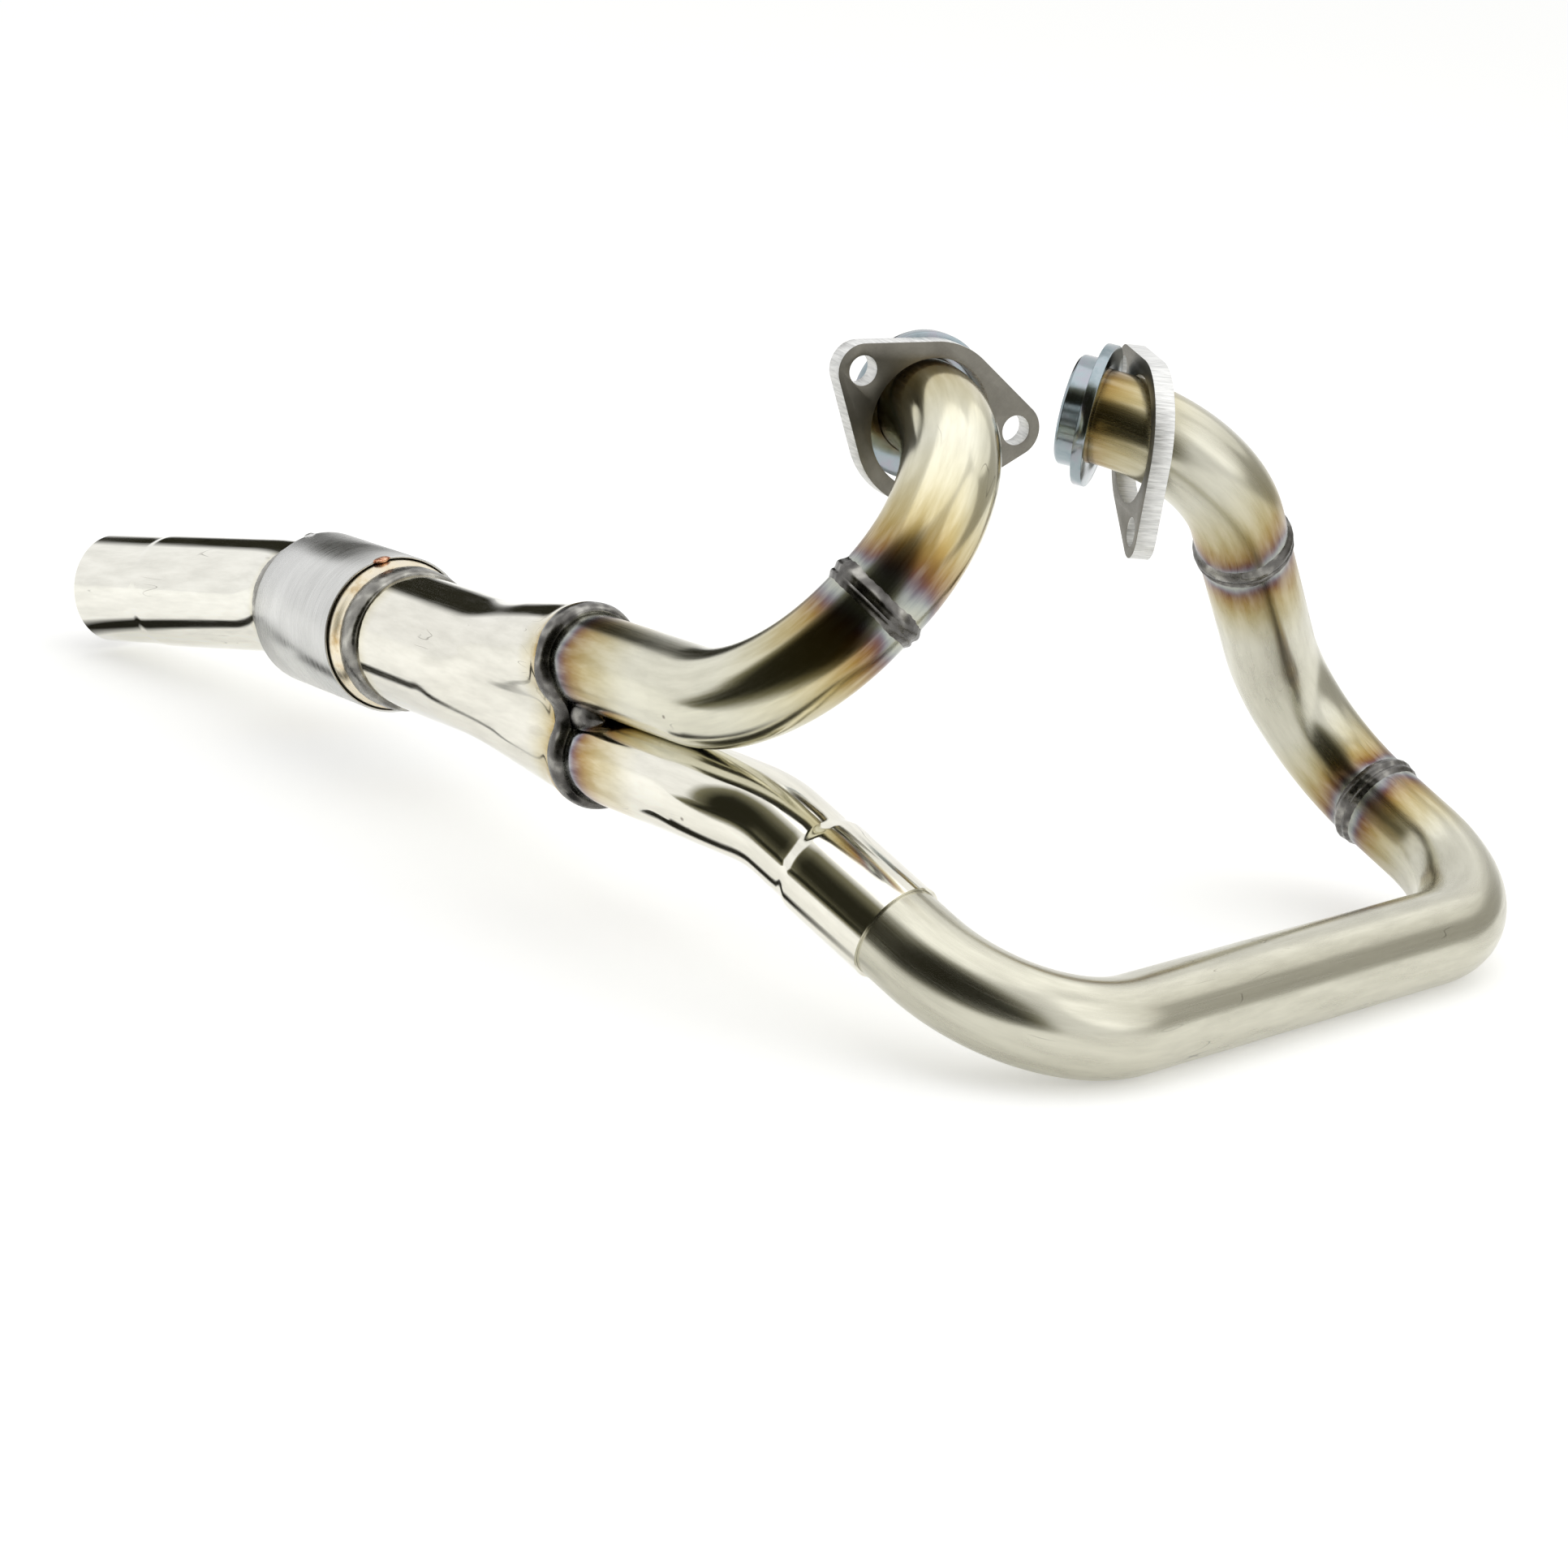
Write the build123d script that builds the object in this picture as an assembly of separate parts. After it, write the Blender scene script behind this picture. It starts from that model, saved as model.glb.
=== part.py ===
"""Two-into-one exhaust header for a twin, with a slip joint, a small can and loose port flanges.

Millimetres. The origin is the middle of the outlet's mouth. +X runs forward along the collector,
towards the engine, +Y is to the left and +Z is up when the header lies on a flat floor.
Each pipe is stated as it is bent: a straight length, the turn of the bender, the angle of the bend.
"""
import os
from math import atan2, cos, degrees, radians, sin, sqrt

from build123d import *

# Primary pipes.
PIPE_OD = 38.1
PIPE_WALL = 1.2
FRONT_BEND_RADIUS = 58.0
REAR_BEND_RADIUS = 67.0
PORT_PITCH = 38.7
PIPE_IN_COLLECTOR = 12.0

# Lie of the collector on the floor.
COLLECTOR_RISE = 5.85
COLLECTOR_ROLL = 11.0

# Link from the collector to the slip joint.
LINK_RUN = 80.5
LINK_BEND_1 = (-125.0, 29.5)
LINK_GAP = 1.0
LINK_BEND_2 = (-101.5, 17.5)

# Slip joint. The straight runs from the link's last bend to the front pipe's first.
SLIP_STRAIGHT = 77.0
SWAGE_START = 16.0
SWAGE_LENGTH = 6.0
SOCKET_LENGTH = 40.5
SLIP_CLEARANCE = 0.08
SLIP_END_GAP = 1.0

# Front pipe, from the slip joint up to the port.
FRONT_BEND_1 = (127.5, 91.0)
FRONT_CROSS = 194.5
FRONT_BEND_2 = (0.0, 83.5)
FRONT_LOWER_END = 29.0
FRONT_BEND_3 = (49.0, 88.5)
FRONT_MIDDLE_END = 67.8
FRONT_UPPER_START = 15.2
FRONT_BEND_4 = (-145.5, 77.5)
FRONT_END = 1.0

# Rear pipe, from the collector up to the port.
REAR_RUN = 87.0
REAR_BEND_1 = (-51.0, 75.5)
REAR_LOWER_END = 8.0
REAR_BEND_2 = (1.5, 97.5)
REAR_END = 0.5

# Port collars, with a shoulder for the loose flange and a spigot for the head.
LIP_OD = 57.5
LIP_THICKNESS = 4.5
SPIGOT_OD = 44.5
SPIGOT_LENGTH = 9.0
SPIGOT_CHAMFER = 1.2
COLLAR_CLEARANCE = 0.05
COLLAR_WELD_DEPTH = 3.0
COLLAR_WELD_THROAT = 1.8

# Loose flanges.
FLANGE_THICKNESS = 8.0
FLANGE_BORE = 51.0
FLANGE_HOLE = 11.5
FLANGE_PITCH = 73.0
FLANGE_BORE_DROP = 9.5
FLANGE_EAR_RADIUS = 10.5
FLANGE_BODY_RADIUS = 32.0
SEAT_GAP = 0.3
REAR_FLANGE_CLOCK = 69.0
REAR_FLANGE_HANG = (5.2, -39.5)
FRONT_FLANGE_BACK = 18.0
FRONT_FLANGE_TURN = -6.0
FRONT_FLANGE_TILT = -21.0
FRONT_FLANGE_SHIFT = (3.22, 2.27)
FRONT_FLANGE_CLOCK = -86.6

# Collector.
COLLECTOR_OD = 57.0
COLLECTOR_WALL = 1.5
COLLECTOR_SWELL = 1.02
COLLECTOR_CLEARANCE = 0.1
MOUTH_WAIST_RADIUS = 14.0
MIDDLE_STATION = 45.0
MIDDLE_PITCH = 24.0
MIDDLE_LOBE_RADIUS = 22.5
MIDDLE_WAIST_RADIUS = 40.0
ROUND_STATION = 92.0
SETTLED_STATION = 108.0
COLLECTOR_LENGTH = 173.0

# Can, its loose outer sleeve and the outlet.
COLLECTOR_IN_CAN = 8.0
CAN_WALL = 1.5
CAN_NECK = 4.0
CAN_CONE = 8.0
CAN_BODY = 74.0
CAN_CLEARANCE = 0.1
SLEEVE_OD = 68.0
SLEEVE_WALL = 1.0
SLEEVE_GAP = 0.7
SLEEVE_INSET = 0.5
TACK_RADIUS = 2.6
TACK_ANGLE = -3.5
OUTLET_OD = 50.8
OUTLET_WALL = 1.5
OUTLET_IN_CAN = 8.0
OUTLET_BEND_RADIUS = 76.0
OUTLET_BEND = (-98.4, 17.9)
OUTLET_BEFORE_VERTEX = 22.0
OUTLET_AFTER_VERTEX = 125.0
OUTLET_STEP_OD = 49.5
OUTLET_STEP_LENGTH = 39.0
OUTLET_TAPER = 6.0

# Weld beads.
BEAD_WIDTH = 11.0
BEAD_HEIGHT = 2.0
BEAD_ROOT = 0.35
CAN_BEAD_WIDTH = 11.0
CAN_BEAD_HEIGHT = 2.8
MOUTH_BEAD_WIDTH = 11.0
MOUTH_BEAD_HEIGHT = 6.4
MOUTH_FILL = 5.0
MOUTH_FILL_ROOT = 1.0


def ahead(frame, length):
    """The frame carried straight on along its own z."""
    return Plane(frame.origin + frame.z_dir * length, x_dir=frame.x_dir, z_dir=frame.z_dir)


def beside(frame, x, y):
    """The frame moved in its own plane."""
    return Plane(frame.origin + frame.x_dir * x + frame.y_dir * y, x_dir=frame.x_dir, z_dir=frame.z_dir)


def bent(frame, angle, radius):
    """The frame carried round a bend towards its own x."""
    swing = radians(angle)
    centre = frame.origin + frame.x_dir * radius
    new_x = frame.x_dir * cos(swing) - frame.z_dir * sin(swing)
    new_z = frame.z_dir * cos(swing) + frame.x_dir * sin(swing)
    return Plane(centre - new_x * radius, x_dir=new_x, z_dir=new_z)


def turned(frame, roll):
    """The frame turned about its own z, as the pipe is turned in the bender."""
    swing = radians(roll)
    new_x = frame.x_dir * cos(swing) + frame.y_dir * sin(swing)
    return Plane(frame.origin, x_dir=new_x, z_dir=frame.z_dir)


def tipped(frame, angle):
    """The frame tipped about its own x."""
    swing = radians(angle)
    new_z = frame.z_dir * cos(swing) - frame.y_dir * sin(swing)
    return Plane(frame.origin, x_dir=frame.x_dir, z_dir=new_z)


def facing_back(frame):
    """The same place, looking the other way along the pipe."""
    return Plane(frame.origin, x_dir=frame.x_dir, z_dir=-frame.z_dir)


def follow(frame, moves, bend_radius):
    """The frame at the far end of straight lengths and (roll, angle) bends."""
    for move in moves:
        if isinstance(move, tuple):
            frame = bent(turned(frame, move[0]), move[1], bend_radius)
        else:
            frame = ahead(frame, move)
    return frame


def pipe(frame, moves, bend_radius, outer_d, wall):
    """A bent pipe: a cylinder for each straight and a piece of a torus for each bend."""
    ring = Circle(outer_d / 2) - Circle(outer_d / 2 - wall)
    tube = None
    for move in moves:
        if isinstance(move, tuple):
            frame = turned(frame, move[0])
            hub = Axis(frame.origin + frame.x_dir * bend_radius, frame.y_dir)
            piece = revolve(frame * ring, hub, move[1])
            frame = bent(frame, move[1], bend_radius)
        else:
            piece = frame * extrude(ring, move)
            frame = ahead(frame, move)
        tube = piece if tube is None else tube + piece
    return tube


def turned_piece(frame, points):
    """A turned piece: (radius, z) points revolved about the frame's z."""
    profile = make_face(Polyline(*[(r, 0, z) for r, z in points], close=True))
    return frame * revolve(profile, Axis.Z, 360)


def bead(frame, radius, width, height):
    """A ring of weld round a pipe, domed over its width and rooted a little into the joint."""
    low = (radius - BEAD_ROOT, 0, -width / 2)
    top = (radius + height, 0, 0)
    high = (radius - BEAD_ROOT, 0, width / 2)
    profile = make_face([ThreePointArc(low, top, high), Line(high, low)])
    return frame * revolve(profile, Axis.Z, 360)


def two_lobes(pitch, lobe_radius, waist_radius):
    """Closed outline round two side by side circles with a rounded waist between them."""
    half = pitch / 2
    reach = lobe_radius + waist_radius
    waist_centre = sqrt(reach**2 - half**2)
    x = half - lobe_radius * half / reach
    y = lobe_radius * waist_centre / reach
    dip = waist_centre - waist_radius
    tip = half + lobe_radius
    return [
        ThreePointArc((x, -y), (tip, 0), (x, y)),
        ThreePointArc((x, y), (0, dip), (-x, y)),
        ThreePointArc((-x, y), (-tip, 0), (-x, -y)),
        ThreePointArc((-x, -y), (0, -dip), (x, -y)),
    ]


def split_circle(radius, angle):
    """A circle in the same four arcs as the two-lobed outline."""
    x = radius * cos(radians(angle))
    y = radius * sin(radians(angle))
    return [
        ThreePointArc((x, -y), (radius, 0), (x, y)),
        ThreePointArc((x, y), (0, radius), (-x, y)),
        ThreePointArc((-x, y), (-radius, 0), (-x, -y)),
        ThreePointArc((-x, -y), (0, -radius), (x, -y)),
    ]


# The floor lie of the collector sets the merge plane: z upstream, x towards the rear pipe's port.
rise = radians(COLLECTOR_RISE)
roll = radians(COLLECTOR_ROLL)
upstream = Vector(cos(rise), 0, sin(rise))
to_rear = Vector(-sin(rise) * cos(roll), -sin(roll), cos(rise) * cos(roll))

# Stations down from the merge plane: the can, then the outlet and its bend.
can_start = COLLECTOR_LENGTH - COLLECTOR_IN_CAN
can_front = can_start + CAN_NECK + CAN_CONE
can_back = can_front + CAN_BODY
can_end = can_back + CAN_CONE + CAN_NECK
outlet_start = can_end - OUTLET_IN_CAN
outlet_tangent = OUTLET_BEND_RADIUS * sin(radians(OUTLET_BEND[1] / 2)) / cos(radians(OUTLET_BEND[1] / 2))
outlet_before = OUTLET_IN_CAN + OUTLET_BEFORE_VERTEX - outlet_tangent
outlet_after = OUTLET_AFTER_VERTEX - outlet_tangent
outlet_plain = outlet_after - OUTLET_STEP_LENGTH - OUTLET_TAPER
outlet_moves = [outlet_before, OUTLET_BEND, outlet_plain]

# Placed so that the outlet's mouth is the origin.
trial = Plane((0, 0, 0), x_dir=to_rear, z_dir=-upstream)
trial_end = follow(ahead(trial, outlet_start), outlet_moves, OUTLET_BEND_RADIUS)
mouth_offset = ahead(trial_end, OUTLET_TAPER + OUTLET_STEP_LENGTH).origin
merge = Plane(-mouth_offset, x_dir=to_rear, z_dir=upstream)
down = facing_back(merge)
link_port = beside(merge, -PORT_PITCH / 2, 0)
rear_port = beside(merge, PORT_PITCH / 2, 0)

parts = {}
pipe_r = PIPE_OD / 2
pipe_bore_r = pipe_r - PIPE_WALL

# Collector link, with its end swaged out into a socket for the front pipe.
link_start = ahead(link_port, -PIPE_IN_COLLECTOR)
link_moves = [LINK_RUN + PIPE_IN_COLLECTOR, LINK_BEND_1, LINK_GAP, LINK_BEND_2, SWAGE_START]
swage = follow(link_start, link_moves, FRONT_BEND_RADIUS)
socket_r = pipe_r + SLIP_CLEARANCE
socket_mouth = SWAGE_LENGTH + SOCKET_LENGTH
socket_bore = [(pipe_bore_r, 0), (socket_r, SWAGE_LENGTH), (socket_r, socket_mouth)]
socket_skin = [(r + PIPE_WALL, z) for r, z in reversed(socket_bore)]
parts["collector_link"] = pipe(
    link_start, link_moves, FRONT_BEND_RADIUS, PIPE_OD, PIPE_WALL
) + turned_piece(swage, socket_bore + socket_skin)

# Front pipe in three bent lengths, butted and welded.
slip_start = ahead(swage, SWAGE_LENGTH + SLIP_END_GAP)
slip_run = SLIP_STRAIGHT - SWAGE_START - SWAGE_LENGTH - SLIP_END_GAP
front_lower_moves = [slip_run, FRONT_BEND_1, FRONT_CROSS, FRONT_BEND_2, FRONT_LOWER_END]
front_middle_moves = [FRONT_BEND_3, FRONT_MIDDLE_END]
front_upper_moves = [FRONT_UPPER_START, FRONT_BEND_4, FRONT_END]
front_joint_1 = follow(slip_start, front_lower_moves, FRONT_BEND_RADIUS)
front_joint_2 = follow(front_joint_1, front_middle_moves, FRONT_BEND_RADIUS)
front_lip = follow(front_joint_2, front_upper_moves, FRONT_BEND_RADIUS)
collar_depth = LIP_THICKNESS + SPIGOT_LENGTH - COLLAR_WELD_DEPTH
for name, start, moves in (
    ("front_lower_pipe", slip_start, front_lower_moves),
    ("front_middle_bend", front_joint_1, front_middle_moves),
    ("front_upper_bend", front_joint_2, front_upper_moves[:2] + [FRONT_END + collar_depth]),
):
    parts[name] = pipe(start, moves, FRONT_BEND_RADIUS, PIPE_OD, PIPE_WALL)


def butt_weld(frame, below, above):
    """The bead over a butt joint, lying on the skin of both pipes."""
    return bead(frame, pipe_r, BEAD_WIDTH, BEAD_HEIGHT) - (parts[below] + parts[above])


parts["front_lower_weld"] = butt_weld(front_joint_1, "front_lower_pipe", "front_middle_bend")
parts["front_upper_weld"] = butt_weld(front_joint_2, "front_middle_bend", "front_upper_bend")

# Rear pipe in two bent lengths.
rear_start = ahead(rear_port, -PIPE_IN_COLLECTOR)
rear_lower_moves = [REAR_RUN + PIPE_IN_COLLECTOR, REAR_BEND_1, REAR_LOWER_END]
rear_joint = follow(rear_start, rear_lower_moves, REAR_BEND_RADIUS)
rear_lip = follow(rear_joint, [REAR_BEND_2, REAR_END], REAR_BEND_RADIUS)
for name, start, moves in (
    ("rear_lower_bend", rear_start, rear_lower_moves),
    ("rear_upper_bend", rear_joint, [REAR_BEND_2, REAR_END + collar_depth]),
):
    parts[name] = pipe(start, moves, REAR_BEND_RADIUS, PIPE_OD, PIPE_WALL)
parts["rear_weld"] = butt_weld(rear_joint, "rear_lower_bend", "rear_upper_bend")

# Port collars, each slipped over the pipe's end and welded round the inside.
collar_length = LIP_THICKNESS + SPIGOT_LENGTH
collar_r = pipe_r + COLLAR_CLEARANCE
collar_points = [
    (collar_r, 0),
    (LIP_OD / 2, 0),
    (LIP_OD / 2, LIP_THICKNESS),
    (SPIGOT_OD / 2, LIP_THICKNESS),
    (SPIGOT_OD / 2, collar_length - SPIGOT_CHAMFER),
    (SPIGOT_OD / 2 - SPIGOT_CHAMFER, collar_length),
    (collar_r, collar_length),
]
collar_weld_points = [
    (pipe_bore_r, collar_depth),
    (collar_r, collar_depth),
    (collar_r, collar_depth + COLLAR_WELD_DEPTH),
    (collar_r - COLLAR_WELD_THROAT / 4, collar_depth + COLLAR_WELD_DEPTH),
    (pipe_bore_r, collar_depth + COLLAR_WELD_THROAT / 2),
]
for end, lip in (("front", front_lip), ("rear", rear_lip)):
    parts[end + "_port_collar"] = turned_piece(lip, collar_points)
    parts[end + "_collar_weld"] = turned_piece(lip, collar_weld_points)

# Loose flanges: one plate shape, hung on each pipe behind its collar.
ears = [Pos(side * FLANGE_PITCH / 2, 0) for side in (-1, 1)]
outline = make_hull(
    (Pos(0, -FLANGE_BORE_DROP) * Circle(FLANGE_BODY_RADIUS)).edges()
    + [edge for ear in ears for edge in (ear * Circle(FLANGE_EAR_RADIUS)).edges()]
)
plate = outline - Pos(0, -FLANGE_BORE_DROP) * Circle(FLANGE_BORE / 2)
for ear in ears:
    plate -= ear * Circle(FLANGE_HOLE / 2)
flange = Pos(0, FLANGE_BORE_DROP, -FLANGE_THICKNESS / 2) * extrude(plate, FLANGE_THICKNESS)

seat = ahead(rear_lip, -SEAT_GAP - FLANGE_THICKNESS / 2)
hang_x = REAR_FLANGE_HANG[0] * cos(radians(REAR_FLANGE_HANG[1]))
hang_y = REAR_FLANGE_HANG[0] * sin(radians(REAR_FLANGE_HANG[1]))
rear_plate = turned(beside(seat, hang_x, hang_y), REAR_FLANGE_CLOCK)
parts["rear_flange"] = rear_plate * flange

back_angle = degrees((FRONT_FLANGE_BACK - FRONT_END) / FRONT_BEND_RADIUS)
bend_end = ahead(front_lip, -FRONT_END)
station = bent(bend_end, -back_angle, FRONT_BEND_RADIUS)
tilted = tipped(turned(station, FRONT_FLANGE_TURN), FRONT_FLANGE_TILT)
front_plate = turned(beside(tilted, FRONT_FLANGE_SHIFT[0], FRONT_FLANGE_SHIFT[1]), FRONT_FLANGE_CLOCK)
parts["front_flange"] = front_plate * flange

# Collector: a two-lobed mouth round both pipes that flows into a round tube.
lobe_r = pipe_r + COLLECTOR_CLEARANCE


def collector_skin(grow):
    """The collector's bar, from its bore (grow 0) out by a wall."""
    mouth = two_lobes(PORT_PITCH, lobe_r + grow, MOUTH_WAIST_RADIUS + COLLECTOR_WALL - grow)
    middle_waist = MIDDLE_WAIST_RADIUS + COLLECTOR_WALL - grow
    middle = two_lobes(MIDDLE_PITCH, MIDDLE_LOBE_RADIUS + grow, middle_waist)
    corner = mouth[0] @ 1
    split = degrees(atan2(corner.Y, corner.X))
    tube_r = COLLECTOR_OD / 2 - COLLECTOR_WALL + grow
    sections = [
        make_face(mouth),
        Pos(0, 0, MIDDLE_STATION) * make_face(middle),
        Pos(0, 0, ROUND_STATION) * make_face(split_circle(tube_r * COLLECTOR_SWELL, split)),
        Pos(0, 0, SETTLED_STATION) * make_face(split_circle(tube_r, split)),
    ]
    flare = loft(sections)
    tail = Pos(0, 0, SETTLED_STATION) * Cylinder(
        tube_r, COLLECTOR_LENGTH - SETTLED_STATION, align=(Align.CENTER, Align.CENTER, Align.MIN)
    )
    return flare + tail


parts["merge_collector"] = down * (collector_skin(COLLECTOR_WALL) - collector_skin(0))

# Weld round the collector's mouth, filled in the crotch between the two pipes.
bead_path = two_lobes(PORT_PITCH, lobe_r + COLLECTOR_WALL / 2, MOUTH_WAIST_RADIUS + COLLECTOR_WALL / 2)
bead_start = bead_path[0] @ 0.5
bead_section = Plane(bead_start, x_dir=(0, 0, 1), z_dir=(0, 1, 0)) * Ellipse(
    MOUTH_BEAD_WIDTH / 2, MOUTH_BEAD_HEIGHT / 2
)
half_1 = [bead_path[0].trim(0.5, 1), bead_path[1], bead_path[2], bead_path[3], bead_path[0].trim(0, 0.5)]
mouth_bead = sweep(bead_section, path=Wire(half_1))
fill_face = make_face(two_lobes(PORT_PITCH, lobe_r, MOUTH_WAIST_RADIUS + COLLECTOR_WALL))
mouth_bead += Pos(0, 0, -MOUTH_FILL) * extrude(fill_face, MOUTH_FILL + MOUTH_FILL_ROOT)
collector_bar = down * collector_skin(COLLECTOR_WALL)
mouth_weld = down * mouth_bead - collector_bar
for port in (link_port, rear_port):
    clear_bar = Cylinder(pipe_r, 4 * MOUTH_BEAD_WIDTH)
    mouth_weld -= port * clear_bar
parts["collector_weld"] = mouth_weld

# Can: a shell necked down at both ends over the collector and the outlet.
front_neck_r = COLLECTOR_OD / 2 + CAN_CLEARANCE
rear_neck_r = OUTLET_OD / 2 + CAN_CLEARANCE
sleeve_r = SLEEVE_OD / 2
can_bore_r = sleeve_r - SLEEVE_WALL - SLEEVE_GAP - CAN_WALL
shell_stations = [
    (front_neck_r, can_start),
    (front_neck_r, can_start + CAN_NECK),
    (can_bore_r, can_front),
    (can_bore_r, can_back),
    (rear_neck_r, can_end - CAN_NECK),
    (rear_neck_r, can_end),
]
shell_outer = [(r + CAN_WALL, z) for r, z in reversed(shell_stations)]
parts["can_shell"] = turned_piece(down, shell_stations + shell_outer)

sleeve_start = can_front + SLEEVE_INSET
sleeve_end = can_back - SLEEVE_INSET
sleeve_points = [
    (sleeve_r - SLEEVE_WALL, sleeve_start),
    (sleeve_r, sleeve_start),
    (sleeve_r, sleeve_end),
    (sleeve_r - SLEEVE_WALL, sleeve_end),
]
parts["outer_sleeve"] = turned_piece(down, sleeve_points)

tack_r = sleeve_r - SLEEVE_WALL / 2
tack_frame = turned(down, TACK_ANGLE)
for name, station_z in (("sleeve_front_tack", sleeve_start), ("sleeve_rear_tack", sleeve_end)):
    blob = tack_frame * (Pos(tack_r, 0, station_z) * Sphere(TACK_RADIUS))
    parts[name] = blob - parts["outer_sleeve"] - parts["can_shell"]

# Outlet, bent just behind the can and drawn down at its mouth to take the next pipe.
outlet_frame = ahead(down, outlet_start)
outlet_end = follow(outlet_frame, outlet_moves, OUTLET_BEND_RADIUS)
plain_r = OUTLET_OD / 2 - OUTLET_WALL
step_r = OUTLET_STEP_OD / 2 - OUTLET_WALL
drawn_bore = [(plain_r, 0), (step_r, OUTLET_TAPER), (step_r, OUTLET_TAPER + OUTLET_STEP_LENGTH)]
drawn_skin = [(r + OUTLET_WALL, z) for r, z in reversed(drawn_bore)]
parts["outlet_pipe"] = pipe(
    outlet_frame, outlet_moves, OUTLET_BEND_RADIUS, OUTLET_OD, OUTLET_WALL
) + turned_piece(outlet_end, drawn_bore + drawn_skin)

# Ring welds where the collector and the outlet enter the can.
for name, station_z, tube_d, tube in (
    ("can_front_weld", can_start, COLLECTOR_OD, "merge_collector"),
    ("can_rear_weld", can_end, OUTLET_OD, "outlet_pipe"),
):
    ring_bead = bead(ahead(down, station_z), tube_d / 2, CAN_BEAD_WIDTH, CAN_BEAD_HEIGHT)
    parts[name] = ring_bead - parts["can_shell"] - parts[tube]

os.makedirs("parts", exist_ok=True)
for name, piece in parts.items():
    piece.label = name
    export_step(piece, "parts/" + name + ".step")
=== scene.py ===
"""Looks of the exhaust header: bent stainless pipes, welds with heat tint, plated collars, loose flanges."""

import math

import bmesh
import bpy
from mathutils import Matrix, Vector, noise


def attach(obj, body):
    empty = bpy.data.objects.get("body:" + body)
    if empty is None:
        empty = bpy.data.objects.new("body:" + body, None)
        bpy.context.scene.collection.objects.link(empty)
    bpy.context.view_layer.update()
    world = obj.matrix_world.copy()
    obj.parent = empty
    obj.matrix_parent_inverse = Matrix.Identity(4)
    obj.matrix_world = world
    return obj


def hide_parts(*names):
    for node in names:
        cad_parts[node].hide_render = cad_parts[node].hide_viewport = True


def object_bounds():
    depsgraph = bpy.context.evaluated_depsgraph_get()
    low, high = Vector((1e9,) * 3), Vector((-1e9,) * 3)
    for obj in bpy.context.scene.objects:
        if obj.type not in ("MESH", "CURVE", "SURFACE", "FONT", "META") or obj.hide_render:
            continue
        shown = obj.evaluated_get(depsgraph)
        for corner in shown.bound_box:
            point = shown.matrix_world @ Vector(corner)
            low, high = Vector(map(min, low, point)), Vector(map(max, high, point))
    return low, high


bl_info = {
    "name": "Exhaust header",
    "version": (1, 0, 0),
    "blender": (4, 2, 0),
    "location": "3D View > Sidebar > Header",
    "description": "Builds the skins, welds and finishes of a two-into-one exhaust header",
    "category": "Object",
}

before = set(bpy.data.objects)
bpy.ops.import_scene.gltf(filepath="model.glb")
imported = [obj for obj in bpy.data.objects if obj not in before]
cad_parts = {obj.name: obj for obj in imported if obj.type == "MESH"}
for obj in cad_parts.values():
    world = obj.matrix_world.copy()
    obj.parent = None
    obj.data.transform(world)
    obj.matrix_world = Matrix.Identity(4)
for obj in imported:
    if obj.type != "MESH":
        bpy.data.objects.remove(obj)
CAD_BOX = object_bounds()

# Sizes are in millimetres and angles in degrees. The meshes are in metres.
MM = 0.001

# A ring spacing so wide that each straight or bend is one step.
ONE_STEP = 1000.0

# Bends as the pipes are made: a straight, or (turn of the bender, angle of the bend).
LINK_MOVES = [92.5, (-125.0, 29.5), 1.0, (-101.5, 17.5), 16.0]
FRONT_LOWER_MOVES = [54.0, (127.5, 91.0), 194.5, (0.0, 83.5), 29.0]
FRONT_MIDDLE_MOVES = [(49.0, 88.5), 67.8]
FRONT_UPPER_MOVES = [15.2, (-145.5, 77.5), 1.0]
REAR_LOWER_MOVES = [99.0, (-51.0, 75.5), 8.0]
REAR_UPPER_MOVES = [(1.5, 97.5), 0.5]
FRONT_RADIUS = 58.0
REAR_RADIUS = 67.0
PORT_PITCH = 38.7
PIPE_IN_COLLECTOR = 12.0
PIPE_IN_COLLAR = 10.5
COLLECTOR_RISE = 5.85
COLLECTOR_ROLL = 11.0

# The socket on the link, and the slip joint in it.
SWAGE_LENGTH = 6.0
SOCKET_LENGTH = 40.5
SLIP_GAP = 1.0
SLIP_CLEARANCE = 0.08

# Collector, by stations down from the mouth where the pipes enter. Lobes and waists are those of its bore.
FORMED_WALL = 1.5
COLLECTOR_LENGTH = 173.0
COLLECTOR_RADIUS = 28.5
COLLECTOR_BORE = COLLECTOR_RADIUS - FORMED_WALL
MOUTH_LOBE = 19.15
MOUTH_WAIST = 15.5
MIDDLE_STATION = 45.0
MIDDLE_PITCH = 24.0
MIDDLE_LOBE = 22.5
MIDDLE_WAIST = 41.5
SWELL_STATION = 92.0
SWELL = 1.02
ROUND_STATION = 108.0
RIM_FLARE = 2.0
RIM_REACH = 6.5
NARROWING = 1.8
NARROWING_START = 6.0
NARROWING_LENGTH = 104.0
COLLECTOR_RINGS = 80
COLLECTOR_CROWDING = 1.4
COLLECTOR_FACES = 128

# Outlet, with its reduced end.
OUTLET_IN_CAN = 8.0
OUTLET_BEND = (-98.4, 17.9)
OUTLET_BEND_RADIUS = 76.0
OUTLET_VERTEX = 285.0
OUTLET_AFTER = 125.0
OUTLET_TAPER = 6.0
OUTLET_STEP = 39.0
OUTLET_RADIUS = 25.4
OUTLET_STEP_RADIUS = 24.75
OUTLET_FACES = 96

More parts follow.
